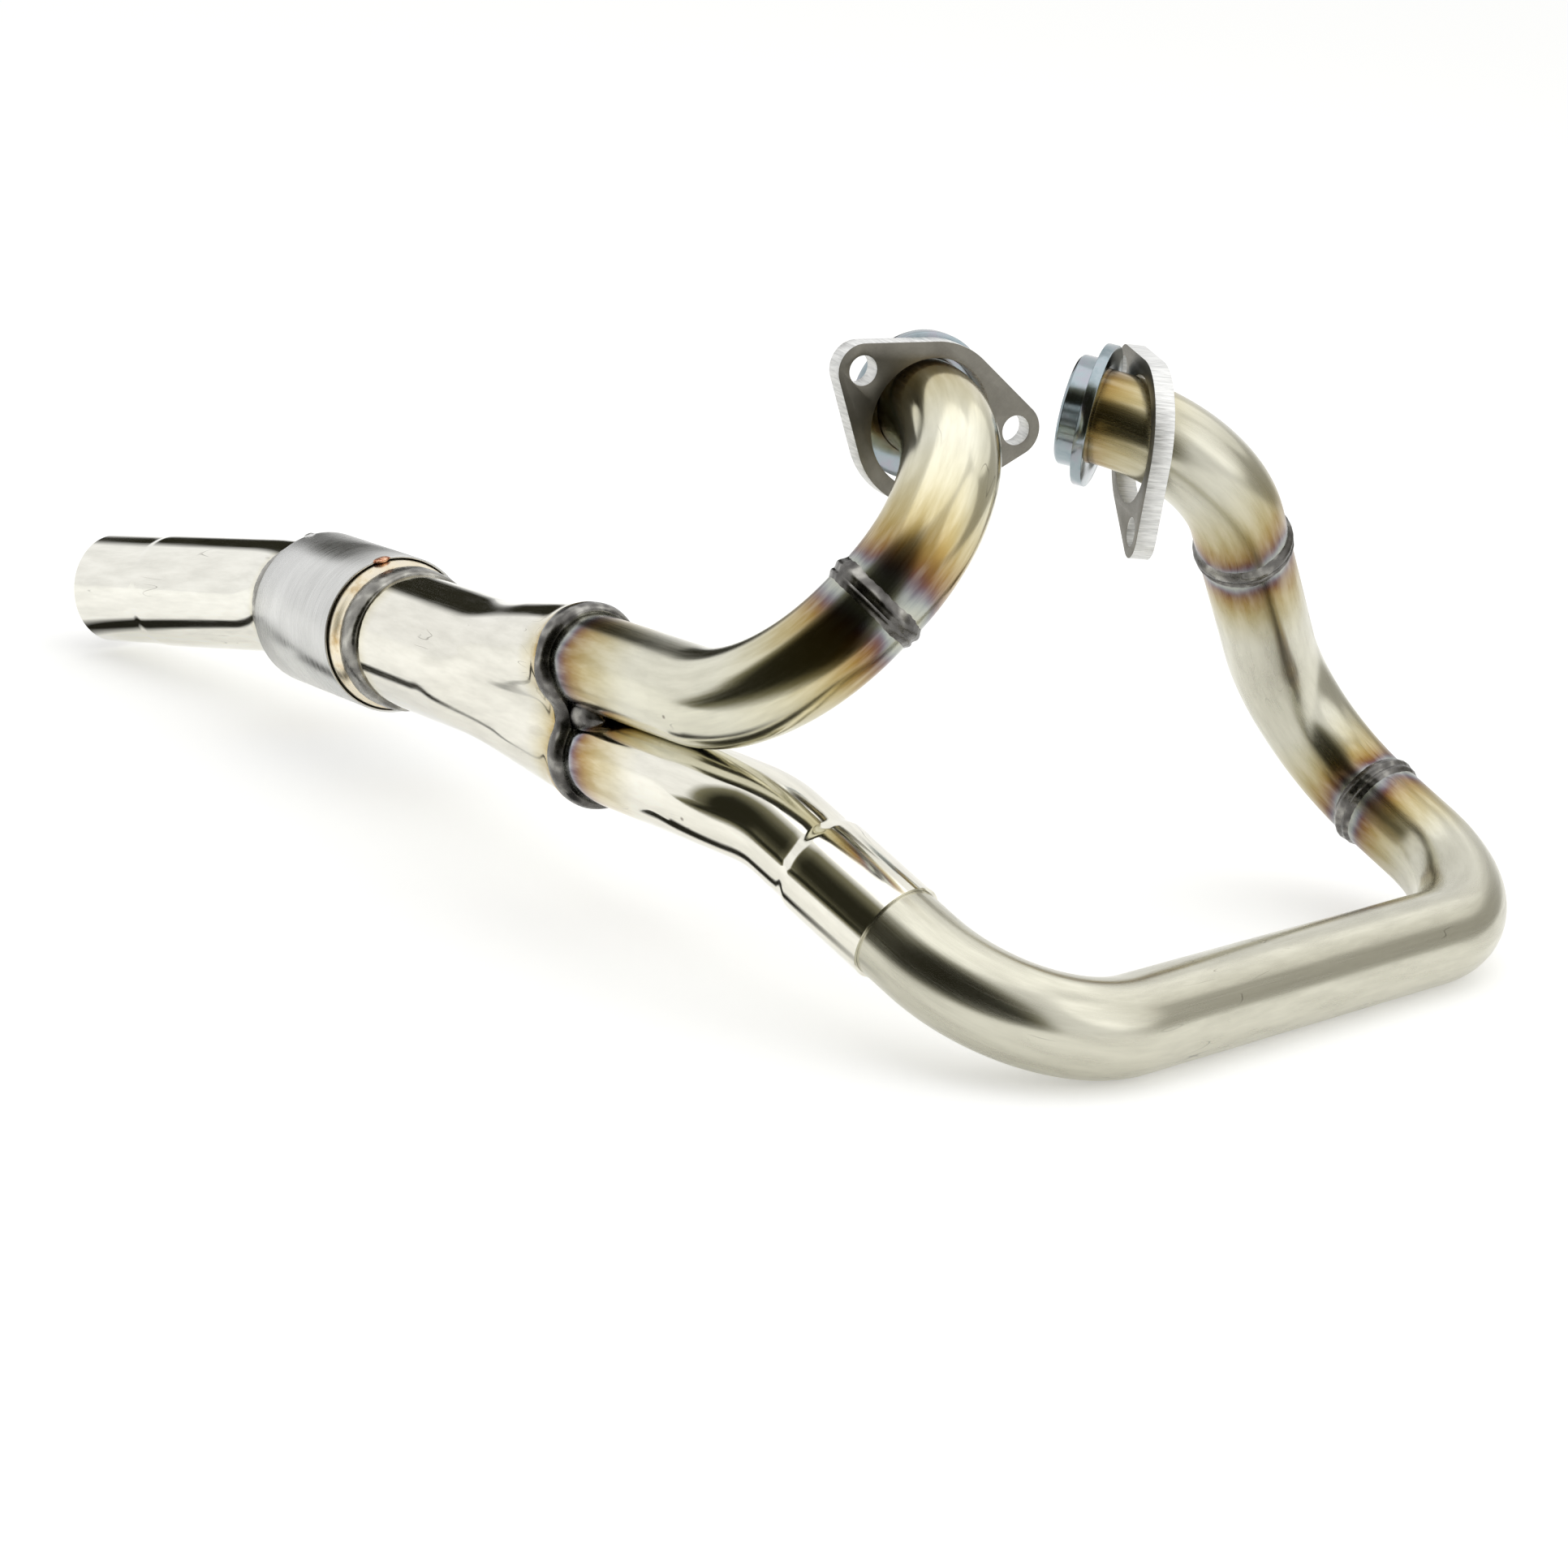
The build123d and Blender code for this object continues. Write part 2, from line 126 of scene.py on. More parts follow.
# Can and sleeve, by the collector's stations.
CAN_START = 165.0
CAN_NECK = 4.0
CAN_CONE = 8.0
CAN_BODY = 74.0
CAN_CLEARANCE = 0.1
CAN_FRONT_BORE = COLLECTOR_RADIUS + CAN_CLEARANCE
CAN_REAR_BORE = OUTLET_RADIUS + CAN_CLEARANCE
SLEEVE_RADIUS = 34.0
SLEEVE_WALL = 1.0
SLEEVE_GAP = 0.7
SLEEVE_INSET = 0.5
SLEEVE_BORE = SLEEVE_RADIUS - SLEEVE_WALL
CAN_BODY_BORE = SLEEVE_BORE - SLEEVE_GAP - FORMED_WALL
CAN_FACES = 144

# Tacks on the sleeve's edges: low blobs, and the front one is drawn out round the edge.
TACK_RADIUS = 2.6
TACK_TURN = -3.5
TACK_HEIGHT = 0.45
TACK_STRETCH = 1.5
TACK_LUMPS = 0.12
TACK_LUMP_SCALE = 700

# Plated collars.
COLLAR_CLEARANCE = 0.05
COLLAR_LENGTH = 13.5
LIP_RADIUS = 28.75
LIP_THICKNESS = 4.5
SPIGOT_RADIUS = 22.25
SPIGOT_CHAMFER = 1.2
COLLAR_FACES = 128

# Small roundings that catch the light, and the angle between faces from which an edge stays crisp.
SLEEVE_CORNER = 0.25
COLLAR_CORNER = 0.35
FLANGE_CORNER = 0.45
ROUNDED_FROM = 35.0
FLANGE_ROUNDED_FROM = 60.0
CRISP_FROM = 32.0
STEP_RINGS = 8

# Weld beads. The can's are laid in one broad pass, and the mouth's is heavy and pools in the crotch.
BEAD_POINTS = 22
BEAD_FACES = 220
BEAD_ROOT = 0.3
BEAD_FULLNESS = 0.6
BEAD_LUMPS = 0.34
BEAD_LUMP_SCALE = 95
BEAD_RIPPLE = 0.04
BEAD_RIPPLE_LEAN = 0.55
CAN_BEAD_EXTRA = 4.0
CAN_BEAD_HEIGHT = 2.4
CAN_BEAD_RIPPLES = 44
MOUTH_BEAD_HEIGHT = 2.9
MOUTH_BEAD_REACH = 5.2
MOUTH_BEAD_FACES = 18
MOUTH_BEAD_UPSTREAM = 2.2
MOUTH_BEAD_POOLS = 0.20
MOUTH_BEAD_POOL_SCALE = 70
CROTCH_HALF = (7.5, 5.5, 17.0)
CROTCH_TAPER = 0.35
CROTCH_SIDE = 8.2
CROTCH_UPSTREAM = 9.0
CROTCH_LUMPS = 0.07
CROTCH_LUMP_SCALE = 160

# The two passes of a bead, each with its height, its middle and its breadth as shares of the bead's.
FIRST_PASS = (0.85, -0.5, 0.36)
SECOND_PASS = (1.0, 0.2, 0.5)

# Where the heat tint starts: the edge of the mouth's bead, and past the collector's two ends.
MOUTH_BEAD_EDGE = 6.0
COLLECTOR_HEAT = (-13.0, CAN_START + 14.0)
NO_WELD_NEAR = 400.0
TINT_START = 2.5

# Wear on the tubes.
DENT_CELL = 26.0
SCRATCH_COLOUR = "6A655C"
DENT_COLOUR = "5A4836"
WORN_SHARE = 0.86


def ahead(place, length):
    """The place carried straight on along its own z."""
    return place @ Matrix.Translation((0, 0, length * MM))


def beside(place, x, y):
    """The place moved in its own plane."""
    return place @ Matrix.Translation((x * MM, y * MM, 0))


def rolled(place, degrees):
    """The place turned about its own z."""
    return place @ Matrix.Rotation(math.radians(degrees), 4, "Z")


def bent(place, degrees, radius):
    """The place carried round a bend towards its own x."""
    arm = Matrix.Translation((radius * MM, 0, 0))
    return place @ arm @ Matrix.Rotation(math.radians(degrees), 4, "Y") @ arm.inverted()


def walk(place, moves, radius, pitch):
    """Places along a run of straights and bends, each with its distance from the start, and the far end.

    The bender's turns are taken out of the places between, so that a ring drawn along them never twists."""
    run = 0.0
    spun = 0.0
    places = [(place, run)]
    for move in moves:
        bend = isinstance(move, tuple)
        length = math.radians(move[1]) * radius if bend else move
        if bend:
            place = rolled(place, move[0])
            spun += move[0]
        count = max(1, round(length / pitch))
        for i in range(1, count + 1):
            part = i / count
            step = bent(place, move[1] * part, radius) if bend else ahead(place, length * part)
            places.append((rolled(step, -spun), run + length * part))
        place = step
        run += length
    return places, place


def end_of(place, moves, radius):
    """The place at the far end of a run."""
    return walk(place, moves, radius, ONE_STEP)[1]


def merge_places():
    """The merge plane looking upstream, and the same plane looking down to the can and outlet."""
    upright = Matrix(((0, 0, 1, 0), (0, -1, 0, 0), (1, 0, 0, 0), (0, 0, 0, 1)))
    rise = Matrix.Rotation(math.radians(-COLLECTOR_RISE), 4, "Y")
    roll = Matrix.Rotation(math.radians(COLLECTOR_ROLL), 4, "X")
    merge = rise @ roll @ upright
    down = merge @ Matrix.Rotation(math.pi, 4, "X")
    taper = end_of(ahead(down, OUTLET_START), OUTLET_MOVES, OUTLET_BEND_RADIUS)
    shift = Matrix.Translation(-ahead(taper, OUTLET_TAPER + OUTLET_STEP).translation)
    return shift @ merge, shift @ down


CAN_END = CAN_START + 2 * CAN_NECK + 2 * CAN_CONE + CAN_BODY
OUTLET_START = CAN_END - OUTLET_IN_CAN
OUTLET_REACH = OUTLET_BEND_RADIUS * math.tan(math.radians(OUTLET_BEND[1] / 2))
OUTLET_MOVES = [
    OUTLET_VERTEX - OUTLET_REACH - OUTLET_START,
    OUTLET_BEND,
    OUTLET_AFTER - OUTLET_REACH - OUTLET_STEP - OUTLET_TAPER,
]
MERGE, DOWN = merge_places()
LINK_START = ahead(beside(MERGE, -PORT_PITCH / 2, 0), -PIPE_IN_COLLECTOR)
REAR_START = ahead(beside(MERGE, PORT_PITCH / 2, 0), -PIPE_IN_COLLECTOR)
SWAGE = end_of(LINK_START, LINK_MOVES, FRONT_RADIUS)
SLIP_START = ahead(SWAGE, SWAGE_LENGTH + SLIP_GAP)
FRONT_JOINT_1 = end_of(SLIP_START, FRONT_LOWER_MOVES, FRONT_RADIUS)
FRONT_JOINT_2 = end_of(FRONT_JOINT_1, FRONT_MIDDLE_MOVES, FRONT_RADIUS)
FRONT_LIP = end_of(FRONT_JOINT_2, FRONT_UPPER_MOVES, FRONT_RADIUS)
REAR_JOINT = end_of(REAR_START, REAR_LOWER_MOVES, REAR_RADIUS)
REAR_LIP = end_of(REAR_JOINT, REAR_UPPER_MOVES, REAR_RADIUS)

# The studio: the header's middle, the floor, and the places of camera and lamps, in metres.
MIDDLE = Vector((0.42, 0.16, 0.08))
FLOOR_LEVEL = CAD_BOX[0][2]
FLOOR_HALF = 12.0
SENSOR_WIDTH = 36.0
CAMERA_PLACE = (1.88986, -0.79081, 0.51444)
CAMERA_TURN = (74.0213, -5.5809, 59.9019)
ROOM_LIGHT = 0.75
LAMPS = (
    ("key light", (0.55, 0.1, 1.9), 2.2, 6.5),
    ("right light", (1.7, 1.2, 1.0), 1.6, 3.5),
    ("back light", (0.35, 2.0, 1.7), 1.8, 4.5),
)

# Dark cards that the metal picks up. A card's way is its direction from the header's middle, and its
# rim and core are how far from that direction its shade starts and is full.
DUSK = [(0.0, "FFFFFF"), (0.4, "7C7962"), (1.0, "26251A")]
HAZE = [(0.0, "FFFFFF"), (1.0, "B4B2AA")]
CARD_DISTANCE = 3.0
CARD_HALF = 3.0
FLAG_HALF = 7.0
FLAGS = (
    ("side flag", (0.498, -0.863, 0.087), 1.0, 0.68, DUSK),
    ("back flag", (0.171, 0.970, 0.174), 0.77, 0.40, HAZE),
)
FLOOR_FLAG_WAY = Vector((0.5, -0.866, 0.0))
FLOOR_FLAG_RIM = 1.0
FLOOR_FLAG_CORE = 0.68
FLOOR_FLAG_NEAR = (0.30, 0.55)
FLOOR_FLAG_DISTANCE = 3.3
FLOOR_FLAG_LIFT = 0.0005
LIGHT_GAP_ENDS = (Vector((-0.881, 0.468, -0.070)), Vector((-0.843, -0.089, 0.530)))
LIGHT_GAP_HALF_WIDTH = 0.18
LIGHT_GAP_COLOUR = "2A2920"
# Painted shadow: dark bars on the floor under the outlet and under the link, where the header's contact
# shadow falls, seen only in the metal.
PAINTED_SHADOW_BARS = (
    ("shade under outlet", (-0.08, -0.018), (0.32, -0.023), 0.012),
    ("shade under link", (0.20, -0.030), (0.58, 0.040), 0.021),
)
FLOOR_BAR_LIFT = 0.0004
FLOOR_BAR_CARD = 0.3
PAINTED_SHADOW_COLOUR = "22211B"
WHITE = (1, 1, 1, 1)


def linear(code):
    """An sRGB hex colour as linear RGBA."""
    parts = [int(code[i : i + 2], 16) / 255 for i in (0, 2, 4)]
    return [p / 12.92 if p <= 0.04045 else ((p + 0.055) / 1.055) ** 2.4 for p in parts] + [1.0]


def length_prop(name, description, millimetres, least):
    """A length that a user may change, shown in the scene's units."""
    return bpy.props.FloatProperty(
        name=name,
        description=description,
        default=millimetres * MM,
        min=least * MM,
        precision=4,
        subtype="DISTANCE",
        unit="LENGTH",
    )


def colour_prop(name, description, code):
    """A colour that a user may change."""
    return bpy.props.FloatVectorProperty(
        name=name,
        description=description,
        default=linear(code),
        min=0.0,
        max=1.0,
        size=4,
        subtype="COLOR",
    )


class HeaderSizes(bpy.types.PropertyGroup):
    """Sizes that the looks are built from."""

    pipe_od: length_prop("Pipe diameter", "Outside diameter of the primary pipes", 38.1, 10.0)
    pipe_wall: length_prop("Pipe wall", "Wall of the primary pipes", 1.2, 0.3)
    pitch: length_prop("Ring spacing", "Distance between rings along a pipe", 3.0, 1.0)
    bead_width: length_prop("Bead width", "Width of a weld bead", 11.0, 2.0)
    bead_height: length_prop("Bead height", "How far a weld bead stands proud", 1.7, 0.3)
    ring_segments: bpy.props.IntProperty(
        name="Pipe segments", description="Faces round each pipe", default=72, min=16, max=160
    )


class HeaderColours(bpy.types.PropertyGroup):
    """Colours of the bare tubes, before the heat tint."""

    satin: colour_prop("Satin tube", "Front primary pipe", "CECCBE")
    drawn: colour_prop("Half bright tube", "Rear primary pipe", "E0DECE")
    bright: colour_prop("Bright tube", "Link with its socket", "F4F2E8")
    formed: colour_prop("Formed tube", "Collector", "EEECE3")
    polished: colour_prop("Polished tube", "Outlet", "F4F3EC")


class HeaderStage(bpy.types.PropertyGroup):
    """Camera and floor."""

    lens: bpy.props.FloatProperty(
        name="Lens",
        description="Focal length on a 36 mm wide frame",
        default=102.48,
        min=10,
        unit="CAMERA",
    )
    floor_tint: colour_prop("Floor", "Colour of the floor", "F4F4F2")
    floor_lift: bpy.props.FloatProperty(
        name="Floor glow",
        description="What brings the floor up to white for the eye",
        default=0.3,
        min=0,
        max=1,
        subtype="FACTOR",
    )


def feed(tree, plug, value):
    """Links a socket's value to an input, or sets a constant on it."""
    if isinstance(value, bpy.types.NodeSocket):
        tree.links.new(value, plug)
    else:
        plug.default_value = value


def add(tree, kind, settings=None, **values):
    """Adds a node with its settings, and feeds its inputs by name (_ for a space) or by i and a number."""
    item = tree.nodes.new("ShaderNode" + kind)
    for key, value in (settings or {}).items():
        setattr(item, key, value)
    for key, value in values.items():
        numbered = key[0] == "i" and key[1:].isdigit()
        feed(tree, item.inputs[int(key[1:]) if numbered else key.replace("_", " ")], value)
    return item


def ramp(tree, fac, stops, blend="LINEAR"):
    """A colour ramp from (position, hex) stops."""
    item = add(tree, "ValToRGB", None, Fac=fac)
    band = item.color_ramp
    band.interpolation = blend
    while len(band.elements) < len(stops):
        band.elements.new(0.5)
    for element, (position, code) in zip(band.elements, stops):
        element.position = position
        element.color = linear(code)
    return item.outputs["Color"]


def spread(tree, value, low, high, to_low=0.0, to_high=1.0):
    """A value's range carried to another, clamped."""
    ends = {"From_Min": low, "From_Max": high, "To_Min": to_low, "To_Max": to_high}
    return add(tree, "MapRange", {"clamp": True}, Value=value, **ends).outputs["Result"]


def math_node(tree, operation, first, second):
    """A sum, product or other plain calculation on two values."""
    return add(tree, "Math", {"operation": operation}, i0=first, i1=second).outputs["Value"]


def vector_node(tree, operation, *vectors):
    """A calculation on vectors: a vector, or a number from a length or a dot product."""
    numbered = {"i%d" % i: vector for i, vector in enumerate(vectors)}
    item = add(tree, "VectorMath", {"operation": operation}, **numbered)
    return item.outputs["Value" if operation in ("LENGTH", "DOT_PRODUCT") else "Vector"]


def blend_colour(tree, fac, first, second, mode="MIX"):
    """Two colours blended by a factor."""
    settings = {"data_type": "RGBA", "blend_type": mode}
    return add(tree, "Mix", settings, i0=fac, i6=first, i7=second).outputs[2]


def attribute(tree, name, output):
    """What a mesh layer holds at each point."""
    return add(tree, "Attribute", {"attribute_name": name}).outputs[output]


def bare_tree(name):
    """A new material with an empty tree."""
    made = bpy.data.materials.new(name)
    made.use_nodes = True
    made.node_tree.nodes.clear()
    return made, made.node_tree


def fresh(name):
    """A new material with a shader, its tree and the shader."""
    made, tree = bare_tree(name)
    shader = add(tree, "BsdfPrincipled")
    add(tree, "OutputMaterial", None, Surface=shader.outputs["BSDF"])
    return made, tree, shader


def coat(tree, shader, colour, rough, metallic=1.0):
    """Sets the shader's colour, roughness and share of metal."""
    feed(tree, shader.inputs["Base Color"], colour)
    feed(tree, shader.inputs["Roughness"], rough)
    feed(tree, shader.inputs["Metallic"], metallic)


def grain(tree, across, along, detail=3.0):
    """Noise on the straightened piece, with its size across the piece and along it."""
    sizes = (1 / (across * MM), 1 / (across * MM), 1 / (along * MM))
    sized = add(tree, "Mapping", None, Vector=attribute(tree, "drawn", "Vector"), Scale=sizes)
    place = sized.outputs["Vector"]
    return add(tree, "TexNoise", None, Vector=place, Scale=1.0, Detail=detail, Roughness=0.6).outputs["Fac"]


def bump(tree, shader, height, strength, distance):
    """Surface relief from a height."""
    made = add(tree, "Bump", None, Height=height, Strength=strength, Distance=distance * MM)
    feed(tree, shader.inputs["Normal"], made.outputs["Normal"])


# Oxide colours outward from a weld: bleached, blue, violet, red-brown, orange, gold, straw, bare.
TINT_STOPS = [
    (0.0, "D8DADA"),
    (0.06, "B8C2CC"),
    (0.10, "8F8AA2"),
    (0.14, "7E5A60"),
    (0.19, "966C48"),
    (0.28, "BA9858"),
    (0.44, "D4C28E"),
    (0.70, "EEE9D6"),
    (1.0, "FFFFFF"),
]


def dents(tree):
    """Mask of small scattered dents, a millimetre or two across, in about one cell of four."""
    place = attribute(tree, "drawn", "Vector")
    cells = add(tree, "TexVoronoi", None, Vector=place, Scale=1 / (DENT_CELL * MM))
    chance = add(tree, "SeparateColor", None, Color=cells.outputs["Color"]).outputs["Red"]
    chosen = spread(tree, chance, 0.72, 0.74)
    dent = spread(tree, cells.outputs["Distance"], 0.02, 0.045, 0.8, 0.0)
    return math_node(tree, "MULTIPLY", dent, chosen)


def scratches(tree):
    """Mask of a few hair-thin scratches along the tube."""
    ridge = math_node(tree, "SUBTRACT", grain(tree, 7.0, 38.0, 1.0), 0.5)
    hair = math_node(tree, "ABSOLUTE", ridge, 0.0)
    rare = spread(tree, grain(tree, 24.0, 30.0, 1.0), 0.60, 0.66)
    return math_node(tree, "MULTIPLY", spread(tree, hair, 0.002, 0.008, 0.55, 0.0), rare)


def heat_tint(tree, cloud, smear, tint_reach):
    """Bands of oxide colour beside each weld, which wander with the cloud and are rubbed thin in places."""
    wander = math_node(tree, "MULTIPLY", math_node(tree, "SUBTRACT", cloud, 0.5), 18.0)
    far = math_node(tree, "ADD", attribute(tree, "weld_mm", "Fac"), wander)
    oxide = ramp(tree, spread(tree, far, TINT_START, tint_reach), TINT_STOPS, "B_SPLINE")
    return blend_colour(tree, spread(tree, smear, 0.3, 0.6, 0.72, 1.0), WHITE, oxide)


def stainless_pipe(name, colour, rough, line_mm, tint_reach):
    """Stainless tube. Drawn lines run along it, and bands of oxide colour stand beside each weld."""
    made, tree, shader = fresh(name)
    lines = grain(tree, line_mm, 70.0)
    cloud = grain(tree, 30.0, 45.0)
    smear = grain(tree, 5.0, 26.0)
    bare = list(colour)
    worn = [part * WORN_SHARE for part in bare[:3]] + [1.0]
    steel = blend_colour(tree, spread(tree, smear, 0.35, 0.7), bare, worn)
    steel = blend_colour(tree, scratches(tree), steel, linear(SCRATCH_COLOUR))
    steel = blend_colour(tree, dents(tree), steel, linear(DENT_COLOUR))
    tinted = blend_colour(tree, 1.0, steel, heat_tint(tree, cloud, smear, tint_reach), "MULTIPLY")
    streak = spread(tree, lines, 0.3, 0.7, rough - 0.03, rough + 0.04)
    patch = spread(tree, smear, 0.4, 0.75, 0.0, 0.07)
    coat(tree, shader, tinted, math_node(tree, "ADD", streak, patch))
    bump(tree, shader, lines, 0.10, 0.02)
    return made


def weld_metal(name, dark, middle, bright):
    """Weld bead as laid: dark smooth oxide over pooled metal, with a few bare facets that catch the light."""
    made, tree, shader = fresh(name)
    pools = grain(tree, 7.0, 7.0, 1.5)
    flecks = grain(tree, 1.6, 1.6, 2.0)
    colour = ramp(tree, pools, [(0.32, dark), (0.55, middle), (0.74, bright)])
    coat(tree, shader, colour, spread(tree, flecks, 0.3, 0.7, 0.20, 0.34))
    bump(tree, shader, math_node(tree, "ADD", pools, math_node(tree, "MULTIPLY", flecks, 0.2)), 0.30, 0.35)
    return made


def plate_face():
    """Mill plate as cut: warm grey scale-free face, dull, with fine pitting."""
    made, tree, shader = fresh("mill plate face")
    pits = grain(tree, 0.9, 0.9, 4.0)
    cloud = grain(tree, 14.0, 14.0)
    colour = ramp(tree, cloud, [(0.3, "78756D"), (0.7, "8A877E")])
    coat(tree, shader, colour, spread(tree, pits, 0.3, 0.7, 0.42, 0.56))
    bump(tree, shader, pits, 0.25, 0.05)
    return made


def plate_edge():
    """Plate edge left by the cutting jet: bright fine ridges across the thickness."""
    made, tree, shader = fresh("jet cut plate edge")
    ridges = grain(tree, 0.9, 9.0)
    colour = ramp(tree, ridges, [(0.3, "C8C8C6"), (0.62, "F4F4F2")])
    coat(tree, shader, colour, spread(tree, ridges, 0.3, 0.7, 0.30, 0.5), 0.55)
    bump(tree, shader, ridges, 0.6, 0.4)
    return made


def zinc_plate():
    """Bright zinc plate over turned steel: bluish, with turning marks under it."""
    made, tree, shader = fresh("bright zinc plate")
    turning = grain(tree, 60.0, 0.5, 2.0)
    cloud = grain(tree, 9.0, 9.0)
    colour = ramp(tree, cloud, [(0.25, "7F9096"), (0.5, "98A3A8"), (0.75, "A09CA6")])
    coat(tree, shader, colour, spread(tree, turning, 0.3, 0.7, 0.13, 0.2))
    bump(tree, shader, turning, 0.05, 0.01)
    return made


def brushed_sleeve():
    """Stainless sheet brushed round the sleeve: fine lines that drag each highlight out along the axis."""
    made, tree, shader = fresh("brushed stainless sleeve")
    lines = grain(tree, 30.0, 0.45, 4.0)
    cloud = grain(tree, 20.0, 12.0, 2.0)
    strong = math_node(tree, "MULTIPLY", lines, 0.7)
    both = math_node(tree, "ADD", strong, math_node(tree, "MULTIPLY", cloud, 0.3))
    colour = ramp(tree, both, [(0.3, "BEBEBC"), (0.7, "E6E6E4")])
    coat(tree, shader, colour, spread(tree, lines, 0.3, 0.7, 0.2, 0.34))
    bump(tree, shader, lines, 0.2, 0.03)
    return made


def spun_can():
    """Spun stainless end: spinning rings, with straw and brown oxide near its weld."""
    made, tree, shader = fresh("spun stainless can")
    rings = grain(tree, 40.0, 0.8)
    cloud = grain(tree, 8.0, 8.0)
    colour = ramp(tree, cloud, [(0.25, "CCB080"), (0.5, "F2E7CE"), (0.75, "EAE2D2")])
    coat(tree, shader, colour, spread(tree, rings, 0.3, 0.7, 0.2, 0.34))
    bump(tree, shader, rings, 0.2, 0.04)
    return made


def tack_metal():
    """Small tack of weld: coppery oxide with a dark red spot."""
    made, tree, shader = fresh("oxidised weld tack")
    blot = grain(tree, 1.6, 1.6)
    colour = ramp(tree, blot, [(0.35, "8A5440"), (0.5, "D49C7C"), (0.7, "F2D0B4")])
    coat(tree, shader, colour, 0.35)
    bump(tree, shader, blot, 0.4, 0.2)
    return made


FINISHES = {}


def finish_of(name):
    """The finish by its short name, made once."""
    colours = bpy.context.scene.header_colours
    makers = {
        "satin": lambda: stainless_pipe("satin stainless tube", colours.satin, 0.22, 0.8, 48.0),
        "drawn": lambda: stainless_pipe("half bright stainless tube", colours.drawn, 0.15, 0.8, 62.0),
        "bright": lambda: stainless_pipe("bright drawn stainless tube", colours.bright, 0.08, 0.7, 58.0),
        "formed": lambda: stainless_pipe("bright formed stainless tube", colours.formed, 0.08, 0.7, 34.0),
        "polished": lambda: stainless_pipe("polished stainless tube", colours.polished, 0.07, 0.7, 34.0),
        "weld": lambda: weld_metal("smooth weld bead", "4E4C4A", "6A6865", "A4A29C"),
        "can weld": lambda: weld_metal("bright weld bead", "74726E", "94928C", "C2C0B8"),
        "heavy weld": lambda: weld_metal("heavy weld bead", "454341", "6C6A67", "A8A6A0"),
        "plate": plate_face,
        "edge": plate_edge,
        "zinc": zinc_plate,
        "sleeve": brushed_sleeve,
        "can": spun_can,
        "tack": tack_metal,
    }
    if name not in FINISHES:
        FINISHES[name] = makers[name]()
    return FINISHES[name]


def open_mesh():
    """An empty bmesh with the layers that the finishes read."""
    bm = bmesh.new()
    bm.verts.layers.float_vector.new("drawn")
    bm.verts.layers.float.new("weld_mm")
    return bm


def close_mesh(bm, name, body, node, slot, *finishes):
    """Makes the piece: outward faces, crisp corners, finish, body and the CAD node it stands for."""
    bmesh.ops.remove_doubles(bm, verts=bm.verts[:], dist=1e-7)
    bmesh.ops.recalc_face_normals(bm, faces=bm.faces[:])
    for face in bm.faces:
        face.smooth = True
    for edge in bm.edges:
        edge.smooth = len(edge.link_faces) == 2 and edge.calc_face_angle(0) < math.radians(CRISP_FROM)
    mesh = bpy.data.meshes.new(name)
    bm.to_mesh(mesh)
    bm.free()
    made = bpy.data.objects.new(name, mesh)
    bpy.context.scene.collection.objects.link(made)
    for finish in finishes:
        mesh.materials.append(finish_of(finish))
    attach(made, body)
    if node:
        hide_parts(node)
    return made


def edges_of(points):
    """The edges that meet in a ring's points."""
    return list({edge for point in points for edge in point.link_edges})


def ring_of(geom):
    """The newest ring in an extrude's result: its points and the edges between them."""
    points = [g for g in geom if isinstance(g, bmesh.types.BMVert)]
    known = set(points)
    lines = [g for g in geom if isinstance(g, bmesh.types.BMEdge)]
    return points, [line for line in lines if line.verts[0] in known and line.verts[1] in known]


def nearest(run, welds):
    """Distance from a point on a pipe to its nearest weld."""
    return min([abs(run - weld) for weld in welds] + [NO_WELD_NEAR])


def sweep_tube(bm, stations, welds, segments):
    """Draws a ring along (place, run, radius) stations and closes it on itself, as outer skin and bore."""
    drawn = bm.verts.layers.float_vector["drawn"]
    weld_mm = bm.verts.layers.float["weld_mm"]
    place, run, radius = stations[0]
    points = bmesh.ops.create_circle(bm, segments=segments, radius=radius * MM)["verts"]
    edges = edges_of(points)
    for point in points:
        point[drawn] = (point.co.x, point.co.y, run * MM)
        point[weld_mm] = nearest(run, welds)
    bmesh.ops.transform(bm, matrix=place, verts=points)
    first = edges
    for next_place, next_run, next_radius in stations[1:]:
        points, edges = ring_of(bmesh.ops.extrude_edge_only(bm, edges=edges)["geom"])
        grow = Matrix.Diagonal((next_radius / radius, next_radius / radius, 1, 1))
        bmesh.ops.transform(bm, matrix=next_place @ grow @ place.inverted(), verts=points)
        for point in points:
            point[drawn] = (point[drawn][0], point[drawn][1], next_run * MM)
            point[weld_mm] = nearest(next_run, welds)
        place, radius = next_place, next_radius
    bmesh.ops.bridge_loops(bm, edges=first + edges)


def out_and_back(skin, wall):
    """Stations along the outside of a tube and back along its bore."""
    return skin + [(place, run, radius - wall) for place, run, radius in reversed(skin)]


def eased(part):
    """A share from 0 to 1 that starts and ends gently."""
    return part * part * (3 - 2 * part)


def swaged(place, run, radius, new_radius, taper, straight):
    """Stations over a pipe's step from one radius to another, then the straight past it."""
    made = []
    parts = [i / STEP_RINGS for i in range(1, STEP_RINGS + 1)]
    for part in parts:
        step = (new_radius - radius) * eased(part)
        made.append((ahead(place, taper * part), run + taper * part, radius + step))
    for part in parts:
        far = taper + straight * part
        made.append((ahead(place, far), run + far, new_radius))
    return made


def shoulder(start, end, low, high):
    """Profile points of a spun shoulder from one radius to another."""
    parts = [i / STEP_RINGS for i in range(STEP_RINGS + 1)]
    return [(start + (end - start) * eased(part), low + (high - low) * part) for part in parts]


